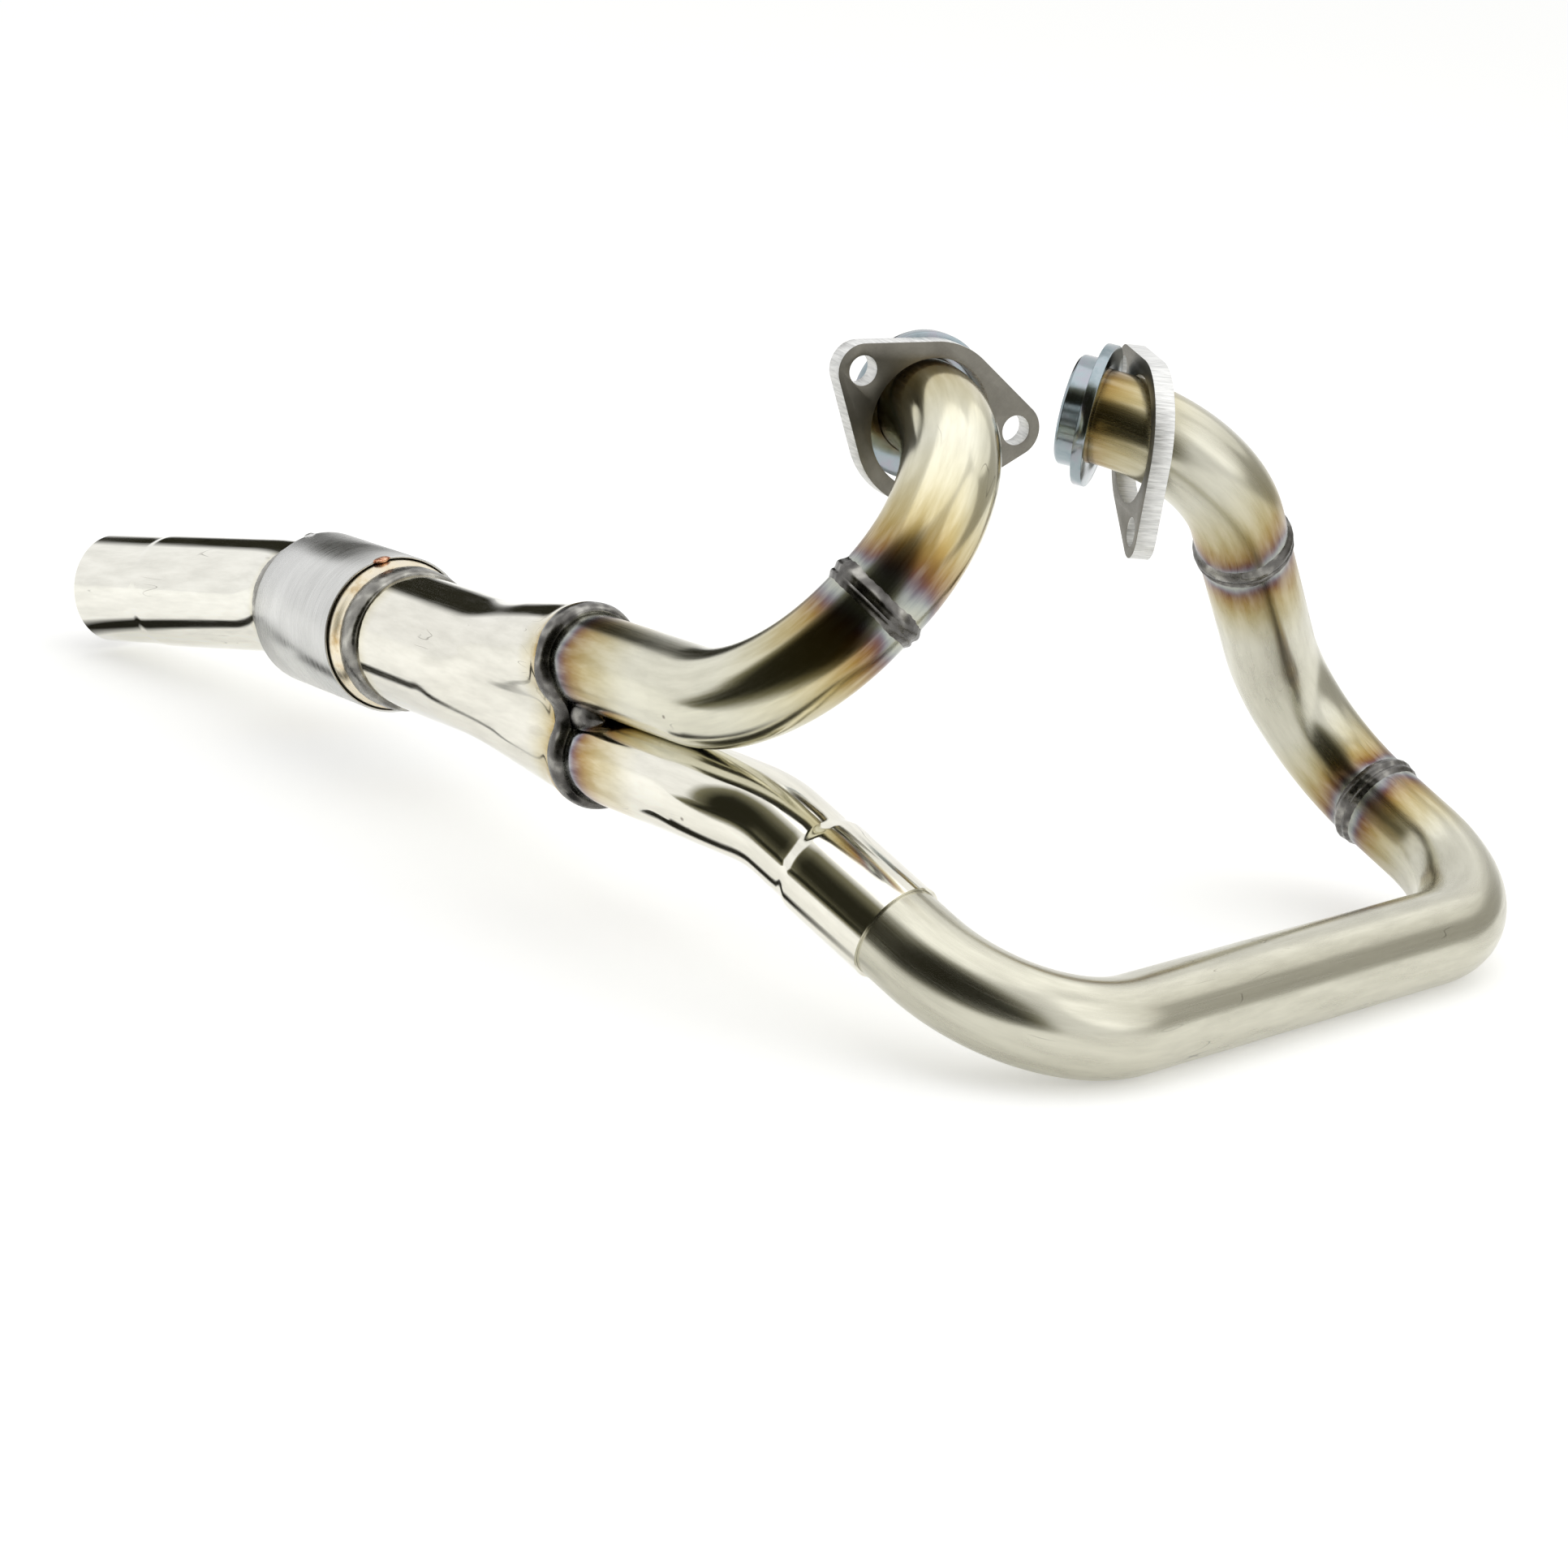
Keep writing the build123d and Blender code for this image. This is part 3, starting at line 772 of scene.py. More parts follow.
def turned_piece(bm, profile, steps):
    """Spins a closed (radius, z) profile about z."""
    points = [bm.verts.new((r * MM, 0, z * MM)) for r, z in profile]
    edges = [bm.edges.new((a, b)) for a, b in zip(points, points[1:] + points[:1])]
    bmesh.ops.spin(
        bm,
        geom=points + edges,
        cent=(0, 0, 0),
        axis=(0, 0, 1),
        angle=2 * math.pi,
        steps=steps,
        use_merge=True,
    )
    bmesh.ops.remove_doubles(bm, verts=bm.verts[:], dist=1e-7)
    bmesh.ops.recalc_face_normals(bm, faces=bm.faces[:])


def break_corners(bm, width, least=ROUNDED_FROM):
    """Small rounding on every sharp corner."""
    sharp = [e for e in bm.edges if e.is_manifold and e.calc_face_angle(0) > math.radians(least)]
    bmesh.ops.bevel(
        bm,
        geom=sharp,
        offset=width * MM,
        segments=2,
        profile=0.5,
        affect="EDGES",
        material=-1,
        clamp_overlap=True,
    )


def settle(bm, place):
    """Notes each point's place on the straight piece, then sets the piece in the header."""
    drawn = bm.verts.layers.float_vector["drawn"]
    for point in bm.verts:
        point[drawn] = point.co
    bmesh.ops.transform(bm, matrix=place, verts=bm.verts[:])


def lobe_reach(angle, pitch, lobe, waist):
    """Reach of the two-lobed outline from its middle at an angle from the line of ports."""
    half = pitch / 2
    span = lobe + waist
    rise = math.sqrt(span**2 - half**2)
    cross = abs(math.sin(angle))
    along = abs(math.cos(angle))
    touch = math.atan2(lobe * rise / span, half - lobe * half / span)
    if math.atan2(cross, along) <= touch:
        return half * along + math.sqrt(lobe**2 - (half * cross) ** 2)
    return rise * cross - math.sqrt(waist**2 - (rise * along) ** 2)


def formed_sections(angle, wall):
    """Stations of the collector's formed sections, each with its reach at an angle."""
    return [
        (0.0, lobe_reach(angle, PORT_PITCH, MOUTH_LOBE + wall, MOUTH_WAIST - wall)),
        (MIDDLE_STATION, lobe_reach(angle, MIDDLE_PITCH, MIDDLE_LOBE + wall, MIDDLE_WAIST - wall)),
        (SWELL_STATION, COLLECTOR_BORE * SWELL + wall),
        (ROUND_STATION, COLLECTOR_BORE + wall),
    ]


def collector_reach(angle, station, wall):
    """Reach of the collector's skin at a station, eased between its formed sections."""
    stops = formed_sections(angle, wall)
    falls = [(r1 - r0) / (z1 - z0) for (z0, r0), (z1, r1) in zip(stops, stops[1:])]
    slopes = [falls[0]]
    for before, after in zip(falls, falls[1:]):
        slopes.append(2 * before * after / (before + after) if before * after > 0 else 0.0)
    slopes.append(0.0)
    for i in range(len(falls)):
        (z0, r0), (z1, r1) = stops[i], stops[i + 1]
        if station <= z1:
            span = z1 - z0
            t = (station - z0) / span
            return (
                (2 * t**3 - 3 * t**2 + 1) * r0
                + (t**3 - 2 * t**2 + t) * span * slopes[i]
                + (-2 * t**3 + 3 * t**2) * r1
                + (t**3 - t**2) * span * slopes[i + 1]
            )
    return stops[-1][1]


def mouth_lip(station, wall):
    """The collector's skin near its mouth: drawn in a little behind the rim, then flared out to the bead."""
    part = min(max((station - NARROWING_START) / NARROWING_LENGTH, 0.0), 1.0)
    flare = RIM_FLARE * math.exp(-((station / RIM_REACH) ** 2)) if wall else 0.0
    return flare - NARROWING * math.sin(math.pi * part) ** 2


def lumpy(bm, place, ripples, seed):
    """Pushes a bead's skin in and out: pooled ripples round the pipe and uneven lumps."""
    back = place.inverted()
    for point in bm.verts:
        local = back @ point.co
        angle = math.atan2(local.y, local.x)
        swell = noise.noise(local * BEAD_LUMP_SCALE + Vector((seed, 0, 0))) * BEAD_LUMPS
        pool = math.cos(angle * ripples + local.z / MM * BEAD_RIPPLE_LEAN + seed) * BEAD_RIPPLE
        outward = Vector((local.x, local.y, 0)).normalized()
        point.co += (place.to_3x3() @ outward) * (swell + pool) * MM


def pass_height(across, laid):
    """Height of one pass of weld at a place across the bead."""
    height, middle, breadth = laid
    return height * math.exp(-(((across - middle) / breadth) ** 2))


def bead_profile(radius, width, height, broad):
    """Profile of a weld bead: two passes that overlap, or one broad pass."""
    profile = []
    for i in range(BEAD_POINTS + 1):
        turn = math.pi * i / BEAD_POINTS
        across = -math.cos(turn)
        crown = 1.0 if broad else max(pass_height(across, FIRST_PASS), pass_height(across, SECOND_PASS))
        ridge = crown * math.sin(turn) ** BEAD_FULLNESS if 0 < i < BEAD_POINTS else 0.0
        profile.append((radius - BEAD_ROOT + (height + BEAD_ROOT) * ridge, width / 2 * across))
    return profile


def bead_ring(node, body, place, profile, finish, ripples, seed):
    """A weld bead laid round a pipe."""
    bm = open_mesh()
    turned_piece(bm, profile, BEAD_FACES)
    settle(bm, place)
    lumpy(bm, place, ripples, seed)
    return close_mesh(bm, node + "_bead", body, node, "weld_bead", finish)


class HEADER_OT_bent_pipes(bpy.types.Operator):
    """Makes the bent primary pipes"""

    bl_idname = "header.bent_pipes"
    bl_label = "Bent pipes"

    def execute(self, context):
        sizes = context.scene.header_sizes
        outer = sizes.pipe_od / 2 / MM
        upper = FRONT_UPPER_MOVES[:2] + [FRONT_UPPER_MOVES[2] + PIPE_IN_COLLAR]
        rear_upper = REAR_UPPER_MOVES[:1] + [REAR_UPPER_MOVES[1] + PIPE_IN_COLLAR]
        runs = (
            ("front_lower_pipe", "front_branch", SLIP_START, FRONT_LOWER_MOVES, FRONT_RADIUS, (1,)),
            ("front_middle_bend", "front_branch", FRONT_JOINT_1, FRONT_MIDDLE_MOVES, FRONT_RADIUS, (0, 1)),
            ("front_upper_bend", "front_branch", FRONT_JOINT_2, upper, FRONT_RADIUS, (0, 1)),
            ("rear_lower_bend", "header", REAR_START, REAR_LOWER_MOVES, REAR_RADIUS, (0, 1)),
            ("rear_upper_bend", "header", REAR_JOINT, rear_upper, REAR_RADIUS, (0, 1)),
        )
        for node, body, start, moves, radius, ends in runs:
            places, _ = walk(start, moves, radius, sizes.pitch / MM)
            welds = [places[-1][1] * end for end in ends]
            if node == "rear_lower_bend":
                welds[0] += PIPE_IN_COLLECTOR + MOUTH_BEAD_EDGE
            if node.endswith("upper_bend"):
                welds[1] += PIPE_IN_COLLAR / 3
            skin = [(place, run, outer) for place, run in places]
            bm = open_mesh()
            sweep_tube(bm, out_and_back(skin, sizes.pipe_wall / MM), welds, sizes.ring_segments)
            finish = "drawn" if node.startswith("rear") else "satin"
            close_mesh(bm, node + "_skin", body, node, "satin_pipe", finish)
        return {"FINISHED"}


class HEADER_OT_bright_pipes(bpy.types.Operator):
    """Makes the bright link with its socket, and the outlet"""

    bl_idname = "header.bright_pipes"
    bl_label = "Bright pipes"

    def execute(self, context):
        sizes = context.scene.header_sizes
        pitch = sizes.pitch / MM
        outer = sizes.pipe_od / 2 / MM
        wall = sizes.pipe_wall / MM
        places, _ = walk(LINK_START, LINK_MOVES, FRONT_RADIUS, pitch)
        skin = [(place, run, outer) for place, run in places]
        skin += swaged(*places[-1], outer, outer + SLIP_CLEARANCE + wall, SWAGE_LENGTH, SOCKET_LENGTH)
        bm = open_mesh()
        welds = [PIPE_IN_COLLECTOR + MOUTH_BEAD_EDGE]
        sweep_tube(bm, out_and_back(skin, wall), welds, sizes.ring_segments)
        close_mesh(bm, "collector_link_skin", "header", "collector_link", "bright_pipe", "bright")

        places, _ = walk(ahead(DOWN, OUTLET_START), OUTLET_MOVES, OUTLET_BEND_RADIUS, pitch)
        skin = [(place, run, OUTLET_RADIUS) for place, run in places]
        skin += swaged(*places[-1], OUTLET_RADIUS, OUTLET_STEP_RADIUS, OUTLET_TAPER, OUTLET_STEP)
        bm = open_mesh()
        sweep_tube(bm, out_and_back(skin, FORMED_WALL), [-OUTLET_IN_CAN], OUTLET_FACES)
        close_mesh(bm, "outlet_skin", "header", "outlet_pipe", "bright_pipe", "polished")
        return {"FINISHED"}


class HEADER_OT_collector(bpy.types.Operator):
    """Makes the collector that runs from a two-lobed mouth to a round tube"""

    bl_idname = "header.collector"
    bl_label = "Collector"

    def execute(self, context):
        bm = open_mesh()
        drawn = bm.verts.layers.float_vector["drawn"]
        weld_mm = bm.verts.layers.float["weld_mm"]
        shares = [(i / COLLECTOR_RINGS) ** COLLECTOR_CROWDING for i in range(COLLECTOR_RINGS + 1)]
        stations = [COLLECTOR_LENGTH * share for share in shares]
        trail = [(z, FORMED_WALL) for z in stations] + [(z, 0.0) for z in reversed(stations)]
        points = bmesh.ops.create_circle(bm, segments=COLLECTOR_FACES, radius=1.0)["verts"]
        edges = edges_of(points)
        first = edges
        for index, (station, wall) in enumerate(trail):
            if index:
                points, edges = ring_of(bmesh.ops.extrude_edge_only(bm, edges=edges)["geom"])
            for point in points:
                angle = math.atan2(point.co.y, point.co.x)
                reach = (collector_reach(angle, station, wall) + mouth_lip(station, wall)) * MM
                point.co = (reach * math.cos(angle), reach * math.sin(angle), station * MM)
                point[drawn] = point.co
                point[weld_mm] = nearest(station, COLLECTOR_HEAT)
        bmesh.ops.bridge_loops(bm, edges=first + edges)
        bmesh.ops.transform(bm, matrix=DOWN, verts=bm.verts[:])
        close_mesh(bm, "collector_skin", "header", "merge_collector", "bright_pipe", "formed")
        return {"FINISHED"}


class HEADER_OT_can(bpy.types.Operator):
    """Makes the can's spun shell, its brushed sleeve and the tacks that hold the sleeve"""

    bl_idname = "header.can"
    bl_label = "Can"

    def execute(self, context):
        body_start = CAN_START + CAN_NECK + CAN_CONE
        body_end = body_start + CAN_BODY
        front = shoulder(CAN_FRONT_BORE, CAN_BODY_BORE, CAN_START + CAN_NECK, body_start)
        rear = shoulder(CAN_BODY_BORE, CAN_REAR_BORE, body_end, CAN_END - CAN_NECK)
        bore = [(CAN_FRONT_BORE, CAN_START)] + front + rear + [(CAN_REAR_BORE, CAN_END)]
        bm = open_mesh()
        turned_piece(bm, bore + [(r + FORMED_WALL, z) for r, z in reversed(bore)], CAN_FACES)
        settle(bm, DOWN)
        close_mesh(bm, "can_skin", "header", "can_shell", "can_shell", "can")
        self.sleeve(body_start + SLEEVE_INSET, body_end - SLEEVE_INSET)
        self.tack("sleeve_front_tack", body_start + SLEEVE_INSET, TACK_STRETCH, "tack")
        self.tack("sleeve_rear_tack", body_end - SLEEVE_INSET, 1.0, "sleeve")
        return {"FINISHED"}

    def sleeve(self, start, end):
        """The brushed sleeve, with its edges broken."""
        bm = open_mesh()
        rim = ((SLEEVE_BORE, start), (SLEEVE_RADIUS, start), (SLEEVE_RADIUS, end), (SLEEVE_BORE, end))
        turned_piece(bm, rim, CAN_FACES)
        break_corners(bm, SLEEVE_CORNER)
        settle(bm, DOWN)
        close_mesh(bm, "sleeve_skin", "header", "outer_sleeve", "brushed_sleeve", "sleeve")

    def tack(self, node, station, stretch, finish):
        """A low, uneven tack on the sleeve's edge, stretched round it."""
        bm = open_mesh()
        bmesh.ops.create_icosphere(bm, subdivisions=4, radius=TACK_RADIUS * MM)
        for point in bm.verts:
            point.co *= 1 + TACK_LUMPS * noise.noise(point.co * TACK_LUMP_SCALE)
            point.co.x *= TACK_HEIGHT
            point.co.y *= stretch
        middle = (SLEEVE_BORE + SLEEVE_RADIUS) / 2
        settle(bm, ahead(beside(rolled(DOWN, TACK_TURN), middle, 0), station))
        close_mesh(bm, node + "_blob", "header", node, "weld_bead", finish)


class HEADER_OT_welds(bpy.types.Operator):
    """Makes the weld beads"""

    bl_idname = "header.welds"
    bl_label = "Welds"

    def execute(self, context):
        sizes = context.scene.header_sizes
        width = sizes.bead_width / MM
        profile = bead_profile(sizes.pipe_od / 2 / MM, width, sizes.bead_height / MM, False)
        bead_ring("front_lower_weld", "front_branch", FRONT_JOINT_1, profile, "weld", ripples=34, seed=3.0)
        bead_ring("front_upper_weld", "front_branch", FRONT_JOINT_2, profile, "weld", ripples=28, seed=11.0)
        bead_ring("rear_weld", "header", REAR_JOINT, profile, "weld", ripples=30, seed=23.0)
        for node, station, radius in (
            ("can_front_weld", CAN_START, COLLECTOR_RADIUS),
            ("can_rear_weld", CAN_END, OUTLET_RADIUS),
        ):
            profile = bead_profile(radius, width + CAN_BEAD_EXTRA, CAN_BEAD_HEIGHT, True)
            bead_ring(node, "header", ahead(DOWN, station), profile, "can weld", CAN_BEAD_RIPPLES, station)
        self.mouth_bead()
        for side, name in ((-1, "crotch_fill_left"), (1, "crotch_fill_right")):
            self.crotch_fill(name, side)
        return {"FINISHED"}

    def mouth_bead(self):
        """The heavy bead round the collector's mouth, along the middle of its wall."""
        bm = open_mesh()
        places = []
        for i in range(BEAD_FACES):
            angle = 2 * math.pi * i / BEAD_FACES
            reach = lobe_reach(angle, PORT_PITCH, MOUTH_LOBE + FORMED_WALL / 2, MOUTH_WAIST - FORMED_WALL / 2)
            places.append(Vector((reach * math.cos(angle), reach * math.sin(angle), 0)) * MM)
        upstream = Vector((0, 0, 1))
        rings = []
        for i, spot in enumerate(places):
            onward = (places[(i + 1) % BEAD_FACES] - places[i - 1]).normalized()
            outward = onward.cross(upstream)
            points = bmesh.ops.create_circle(bm, segments=MOUTH_BEAD_FACES, radius=1.0)["verts"]
            pool = (1 + MOUTH_BEAD_POOLS * noise.noise(spot * MOUTH_BEAD_POOL_SCALE)) * MM
            turn = Matrix((outward, upstream, onward)).transposed().to_4x4()
            size = Matrix.Diagonal((MOUTH_BEAD_HEIGHT * pool, MOUTH_BEAD_REACH * pool, 1, 1))
            bmesh.ops.transform(bm, matrix=Matrix.Translation(spot) @ turn @ size, verts=points)
            rings.append(edges_of(points))
        for i in range(BEAD_FACES):
            bmesh.ops.bridge_loops(bm, edges=rings[i - 1] + rings[i])
        settle(bm, ahead(DOWN, -MOUTH_BEAD_UPSTREAM))
        close_mesh(bm, "collector_weld_bead", "header", "collector_weld", "weld_bead", "heavy weld")

    def crotch_fill(self, name, side):
        """Weld metal pooled in the crotch between the two pipes, on one side of them."""
        bm = open_mesh()
        bmesh.ops.create_icosphere(bm, subdivisions=5, radius=1.0)
        for point in bm.verts:
            taper = 1 - CROTCH_TAPER * max(point.co.z, 0)
            shape = (CROTCH_HALF[0] * taper, CROTCH_HALF[1] * taper, CROTCH_HALF[2])
            point.co = [part * half * MM for part, half in zip(point.co, shape)]
            swirl = noise.noise(point.co * CROTCH_LUMP_SCALE + Vector((side * 7, 0, 0)))
            point.co *= 1 + CROTCH_LUMPS * swirl
        settle(bm, ahead(beside(MERGE, 0, side * CROTCH_SIDE), CROTCH_UPSTREAM))
        close_mesh(bm, name, "header", None, "weld_bead", "heavy weld")


class HEADER_OT_collars(bpy.types.Operator):
    """Makes the plated port collars"""

    bl_idname = "header.collars"
    bl_label = "Port collars"

    def execute(self, context):
        bore = context.scene.header_sizes.pipe_od / 2 / MM + COLLAR_CLEARANCE
        profile = [
            (bore, 0),
            (LIP_RADIUS, 0),
            (LIP_RADIUS, LIP_THICKNESS),
            (SPIGOT_RADIUS, LIP_THICKNESS),
            (SPIGOT_RADIUS, COLLAR_LENGTH - SPIGOT_CHAMFER),
            (SPIGOT_RADIUS - SPIGOT_CHAMFER, COLLAR_LENGTH),
            (bore, COLLAR_LENGTH),
        ]
        for end, body, lip in (("front", "front_branch", FRONT_LIP), ("rear", "header", REAR_LIP)):
            bm = open_mesh()
            turned_piece(bm, profile, COLLAR_FACES)
            break_corners(bm, COLLAR_CORNER)
            settle(bm, lip)
            close_mesh(bm, end + "_collar_skin", body, end + "_port_collar", "zinc_collar", "zinc")
            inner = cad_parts[end + "_collar_weld"]
            inner.data.materials.clear()
            inner.data.materials.append(finish_of("weld"))
        return {"FINISHED"}


class HEADER_OT_flanges(bpy.types.Operator):
    """Makes the loose flanges"""

    bl_idname = "header.flanges"
    bl_label = "Loose flanges"

    def execute(self, context):
        for node, body in (("front_flange", "front_plate"), ("rear_flange", "rear_plate")):
            bm = open_mesh()
            bm.from_mesh(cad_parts[node].data)
            bmesh.ops.remove_doubles(bm, verts=bm.verts[:], dist=1e-6)
            bmesh.ops.dissolve_limit(bm, angle_limit=math.radians(1), verts=bm.verts[:], edges=bm.edges[:])
            bmesh.ops.recalc_face_normals(bm, faces=bm.faces[:])
            broad = max(bm.faces, key=lambda face: face.calc_area()).normal.copy()
            break_corners(bm, FLANGE_CORNER, FLANGE_ROUNDED_FROM)
            bm.normal_update()
            drawn = bm.verts.layers.float_vector["drawn"]
            side = broad.orthogonal().normalized()
            turn = Matrix((side, broad.cross(side), broad))
            for point in bm.verts:
                point[drawn] = turn @ point.co
            for face in bm.faces:
                face.material_index = 0 if abs(face.normal.dot(broad)) > 0.9 else 1
            close_mesh(bm, node + "_skin", body, node, "flange_plate", "plate", "edge")
        return {"FINISHED"}


def white_to_eye(tree, shader, glow):
    """Mixes in the glow where the eye, the metal or glass looks at the background, so that it shows white."""
    path = add(tree, "LightPath")
    seen = math_node(tree, "MAXIMUM", path.outputs["Is Camera Ray"], path.outputs["Is Glossy Ray"])
    seen = math_node(tree, "MAXIMUM", seen, path.outputs["Is Transmission Ray"])
    return add(tree, "MixShader", None, Fac=seen, i1=shader, i2=glow).outputs["Shader"]


def pale_card(tint, lift):
    """Pale matt card, white to the eye, with the header's shadow on it."""
    made, tree = bare_tree("pale card")
    card = add(tree, "BsdfDiffuse", None, Color=list(tint)).outputs["BSDF"]
    glow = add(tree, "Emission", None, Color=WHITE, Strength=lift).outputs["Emission"]
    both = add(tree, "AddShader", None, i0=card, i1=glow).outputs["Shader"]
    add(tree, "OutputMaterial", None, Surface=white_to_eye(tree, card, both))
    return made


def way_out(tree):
    """The offset from the middle of the header to a place on a card, and its direction."""
    way = vector_node(tree, "SUBTRACT", add(tree, "TexCoord").outputs["Object"], MIDDLE)
    return way, vector_node(tree, "NORMALIZE", way)


def graded_card(name, heart, rim, core, stops, near=None):
    """Card that darkens from its rim to its heart, by the way it lies from the middle of the header."""
    made, tree = bare_tree(name)
    way, aim = way_out(tree)
    depth = spread(tree, vector_node(tree, "LENGTH", vector_node(tree, "SUBTRACT", aim, heart)), rim, core)
    if near:
        close = spread(tree, vector_node(tree, "LENGTH", way), near[0], near[1])
        depth = math_node(tree, "MULTIPLY", depth, close)
    shade = add(tree, "Emission", None, Color=ramp(tree, depth, stops), Strength=1.0)
    add(tree, "OutputMaterial", None, Surface=shade.outputs["Emission"])
    return made


def dark_bar(name, start, end, half_width, code, aimed):
    """Clear card with a soft-sided dark bar between two places or, where it is aimed, two directions."""
    made, tree = bare_tree(name)
    way, aim = way_out(tree)
    middle = (start + end) / 2
    along = (end - start).normalized()
    across = along.cross(middle if aimed else Vector((0, 0, 1))).normalized()
    off = vector_node(tree, "SUBTRACT", aim if aimed else way, middle)
    by_length = vector_node(tree, "DOT_PRODUCT", off, along * 2 / (end - start).length)
    by_width = vector_node(tree, "DOT_PRODUCT", off, across / half_width)
    flat = add(tree, "CombineXYZ", None, X=by_length, Y=by_width).outputs["Vector"]
    depth = spread(tree, vector_node(tree, "LENGTH", flat), 1.0, 0.6)
    clear = add(tree, "BsdfTransparent").outputs["BSDF"]
    dark = add(tree, "Emission", None, Color=linear(code), Strength=1.0).outputs["Emission"]
    both = add(tree, "MixShader", None, Fac=depth, i1=clear, i2=dark)
    add(tree, "OutputMaterial", None, Surface=both.outputs["Shader"])
    return made


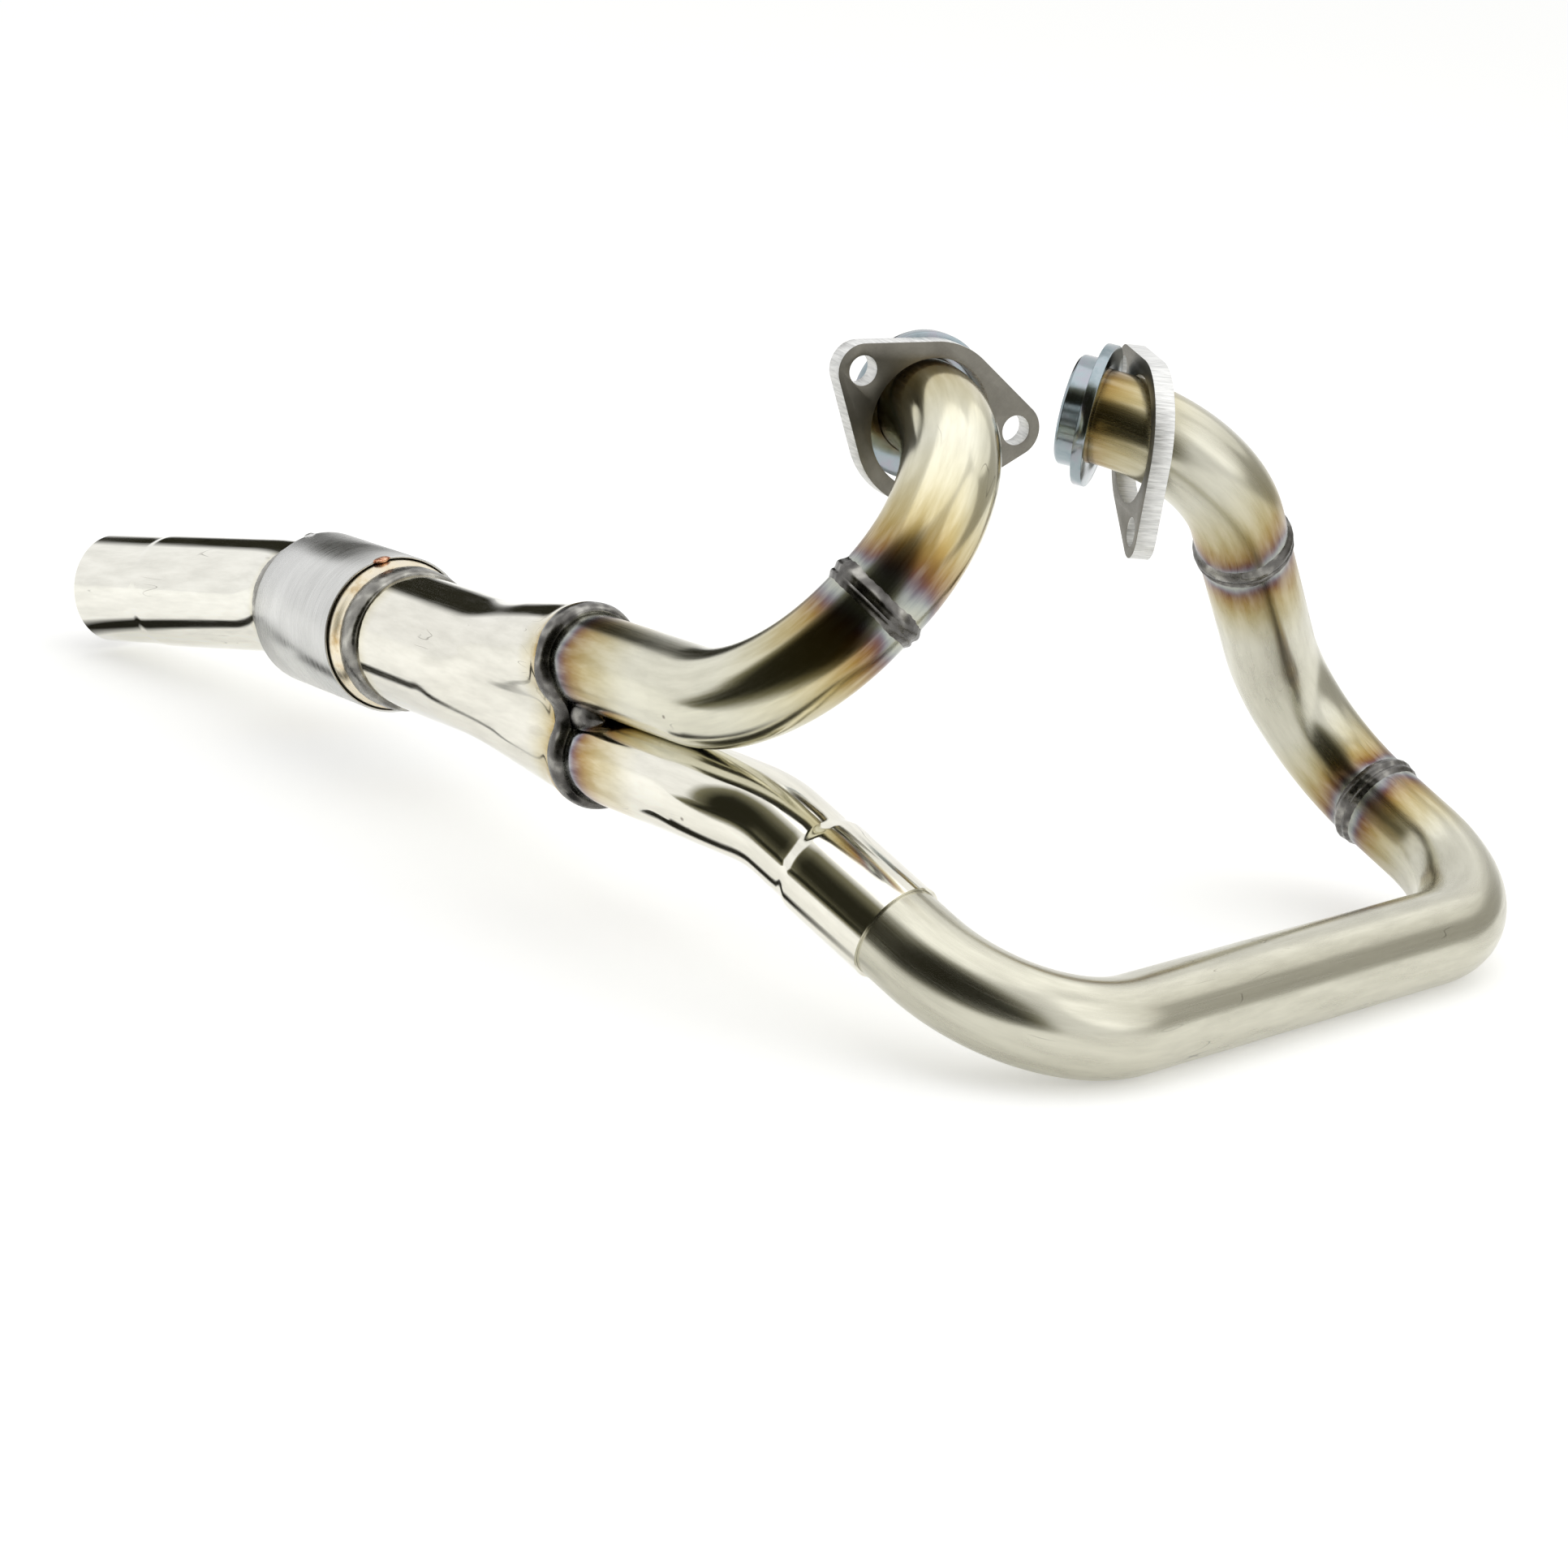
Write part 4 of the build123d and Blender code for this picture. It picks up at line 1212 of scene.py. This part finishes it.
class HEADER_OT_stage(bpy.types.Operator):
    """Makes the floor, the soft lights, the cards that shade the metal and the camera"""

    bl_idname = "header.stage"
    bl_label = "Stage"

    def execute(self, context):
        scene = context.scene
        scene.view_settings.view_transform = "Standard"
        stage = scene.header_stage
        level = Matrix.Translation((MIDDLE.x, MIDDLE.y, FLOOR_LEVEL))
        self.card(scene, "floor", level, FLOOR_HALF, pale_card(stage.floor_tint, stage.floor_lift))
        self.surroundings(scene)
        for shade in self.shades(scene, level):
            shade.visible_camera = False
            shade.visible_diffuse = False
            shade.visible_shadow = False
        self.lamps(scene)
        self.camera(scene, stage.lens)
        return {"FINISHED"}

    def card(self, scene, name, place, half, finish):
        """A flat square card of the stage."""
        bm = bmesh.new()
        bmesh.ops.create_grid(bm, x_segments=2, y_segments=2, size=half)
        bmesh.ops.transform(bm, matrix=place, verts=bm.verts[:])
        mesh = bpy.data.meshes.new(name)
        bm.to_mesh(mesh)
        bm.free()
        made = bpy.data.objects.new(name, mesh)
        scene.collection.objects.link(made)
        mesh.materials.append(finish)
        return made

    def facing(self, toward):
        """The place of a card that stands off from the header and faces it."""
        turn = toward.to_track_quat("Z", "Y").to_matrix().to_4x4()
        return Matrix.Translation(MIDDLE + toward * CARD_DISTANCE) @ turn

    def shades(self, scene, level):
        """Dark cards round the header, out of the picture, that only its metal picks up."""
        made = []
        for name, toward, rim, core, stops in FLAGS:
            finish = graded_card(name, toward, rim, core, stops)
            made.append(self.card(scene, name, self.facing(Vector(toward)), FLAG_HALF * rim, finish))
        start, end = LIGHT_GAP_ENDS
        finish = dark_bar("gap between lights", start, end, LIGHT_GAP_HALF_WIDTH, LIGHT_GAP_COLOUR, True)
        place = self.facing((start + end).normalized())
        made.append(self.card(scene, "gap between lights", place, CARD_HALF, finish))
        turn = Matrix.Rotation(math.atan2(FLOOR_FLAG_WAY.y, FLOOR_FLAG_WAY.x), 4, "Z")
        offset = FLOOR_FLAG_WAY * FLOOR_FLAG_DISTANCE + Vector((0, 0, FLOOR_FLAG_LIFT))
        finish = graded_card(
            "floor flag", FLOOR_FLAG_WAY, FLOOR_FLAG_RIM, FLOOR_FLAG_CORE, DUSK, FLOOR_FLAG_NEAR
        )
        place = level @ Matrix.Translation(offset) @ turn
        made.append(self.card(scene, "floor flag", place, CARD_HALF, finish))
        # Painted shadow: these floor bars lay the header's contact shadow under the outlet and the link, for
        # the metal only.
        for name, start, end, half_width in PAINTED_SHADOW_BARS:
            ends = [Vector((x, y, FLOOR_LEVEL + FLOOR_BAR_LIFT)) - MIDDLE for x, y in (start, end)]
            finish = dark_bar(name, ends[0], ends[1], half_width, PAINTED_SHADOW_COLOUR, False)
            place = Matrix.Translation(MIDDLE + (ends[0] + ends[1]) / 2)
            made.append(self.card(scene, name, place, FLOOR_BAR_CARD, finish))
        return made

    def lamps(self, scene):
        """Three broad soft lamps."""
        for name, spot, size, power in LAMPS:
            lamp = bpy.data.lights.new(name, "AREA")
            lamp.shape = "DISK"
            lamp.size = size
            lamp.energy = power
            made = bpy.data.objects.new(name, lamp)
            made.location = spot
            made.rotation_euler = (MIDDLE - Vector(spot)).to_track_quat("-Z", "Y").to_euler()
            scene.collection.objects.link(made)

    def surroundings(self, scene):
        """A white room."""
        world = bpy.data.worlds.new("studio")
        world.use_nodes = True
        tree = world.node_tree
        tree.nodes.clear()
        soft = add(tree, "Background", None, Color=WHITE, Strength=ROOM_LIGHT).outputs["Background"]
        white = add(tree, "Background", None, Color=WHITE, Strength=1.0).outputs["Background"]
        add(tree, "OutputWorld", None, Surface=white_to_eye(tree, soft, white))
        scene.world = world

    def camera(self, scene, lens):
        """The camera that the header is seen from."""
        camera = bpy.data.cameras.new("camera")
        camera.lens = lens
        camera.sensor_width = SENSOR_WIDTH
        made = bpy.data.objects.new("camera", camera)
        made.location = CAMERA_PLACE
        made.rotation_euler = [math.radians(turn) for turn in CAMERA_TURN]
        scene.collection.objects.link(made)
        scene.camera = made


OPERATORS = (
    HEADER_OT_bent_pipes,
    HEADER_OT_bright_pipes,
    HEADER_OT_collector,
    HEADER_OT_can,
    HEADER_OT_welds,
    HEADER_OT_collars,
    HEADER_OT_flanges,
    HEADER_OT_stage,
)


class HEADER_PT_panel(bpy.types.Panel):
    """Lists the header's sizes, colours and pieces"""

    bl_label = "Exhaust header"
    bl_idname = "HEADER_PT_panel"
    bl_space_type = "VIEW_3D"
    bl_region_type = "UI"
    bl_category = "Header"

    def draw(self, context):
        scene = context.scene
        for group in (scene.header_sizes, scene.header_colours, scene.header_stage):
            for name in group.__annotations__:
                self.layout.prop(group, name)
        for operator in OPERATORS:
            self.layout.operator(operator.bl_idname)


CLASSES = (HeaderSizes, HeaderColours, HeaderStage) + OPERATORS + (HEADER_PT_panel,)


def register():
    """Makes the operators, the panel and the scene's settings known."""
    for cls in CLASSES:
        bpy.utils.register_class(cls)
    bpy.types.Scene.header_sizes = bpy.props.PointerProperty(type=HeaderSizes)
    bpy.types.Scene.header_colours = bpy.props.PointerProperty(type=HeaderColours)
    bpy.types.Scene.header_stage = bpy.props.PointerProperty(type=HeaderStage)


def unregister():
    """Takes them away again."""
    del bpy.types.Scene.header_stage
    del bpy.types.Scene.header_colours
    del bpy.types.Scene.header_sizes
    for cls in reversed(CLASSES):
        bpy.utils.unregister_class(cls)


def main():
    """Builds the header's looks and its stage."""
    register()
    bpy.ops.header.bent_pipes()
    bpy.ops.header.bright_pipes()
    bpy.ops.header.collector()
    bpy.ops.header.can()
    bpy.ops.header.welds()
    bpy.ops.header.collars()
    bpy.ops.header.flanges()
    bpy.ops.header.stage()


if __name__ == "__main__":
    main()
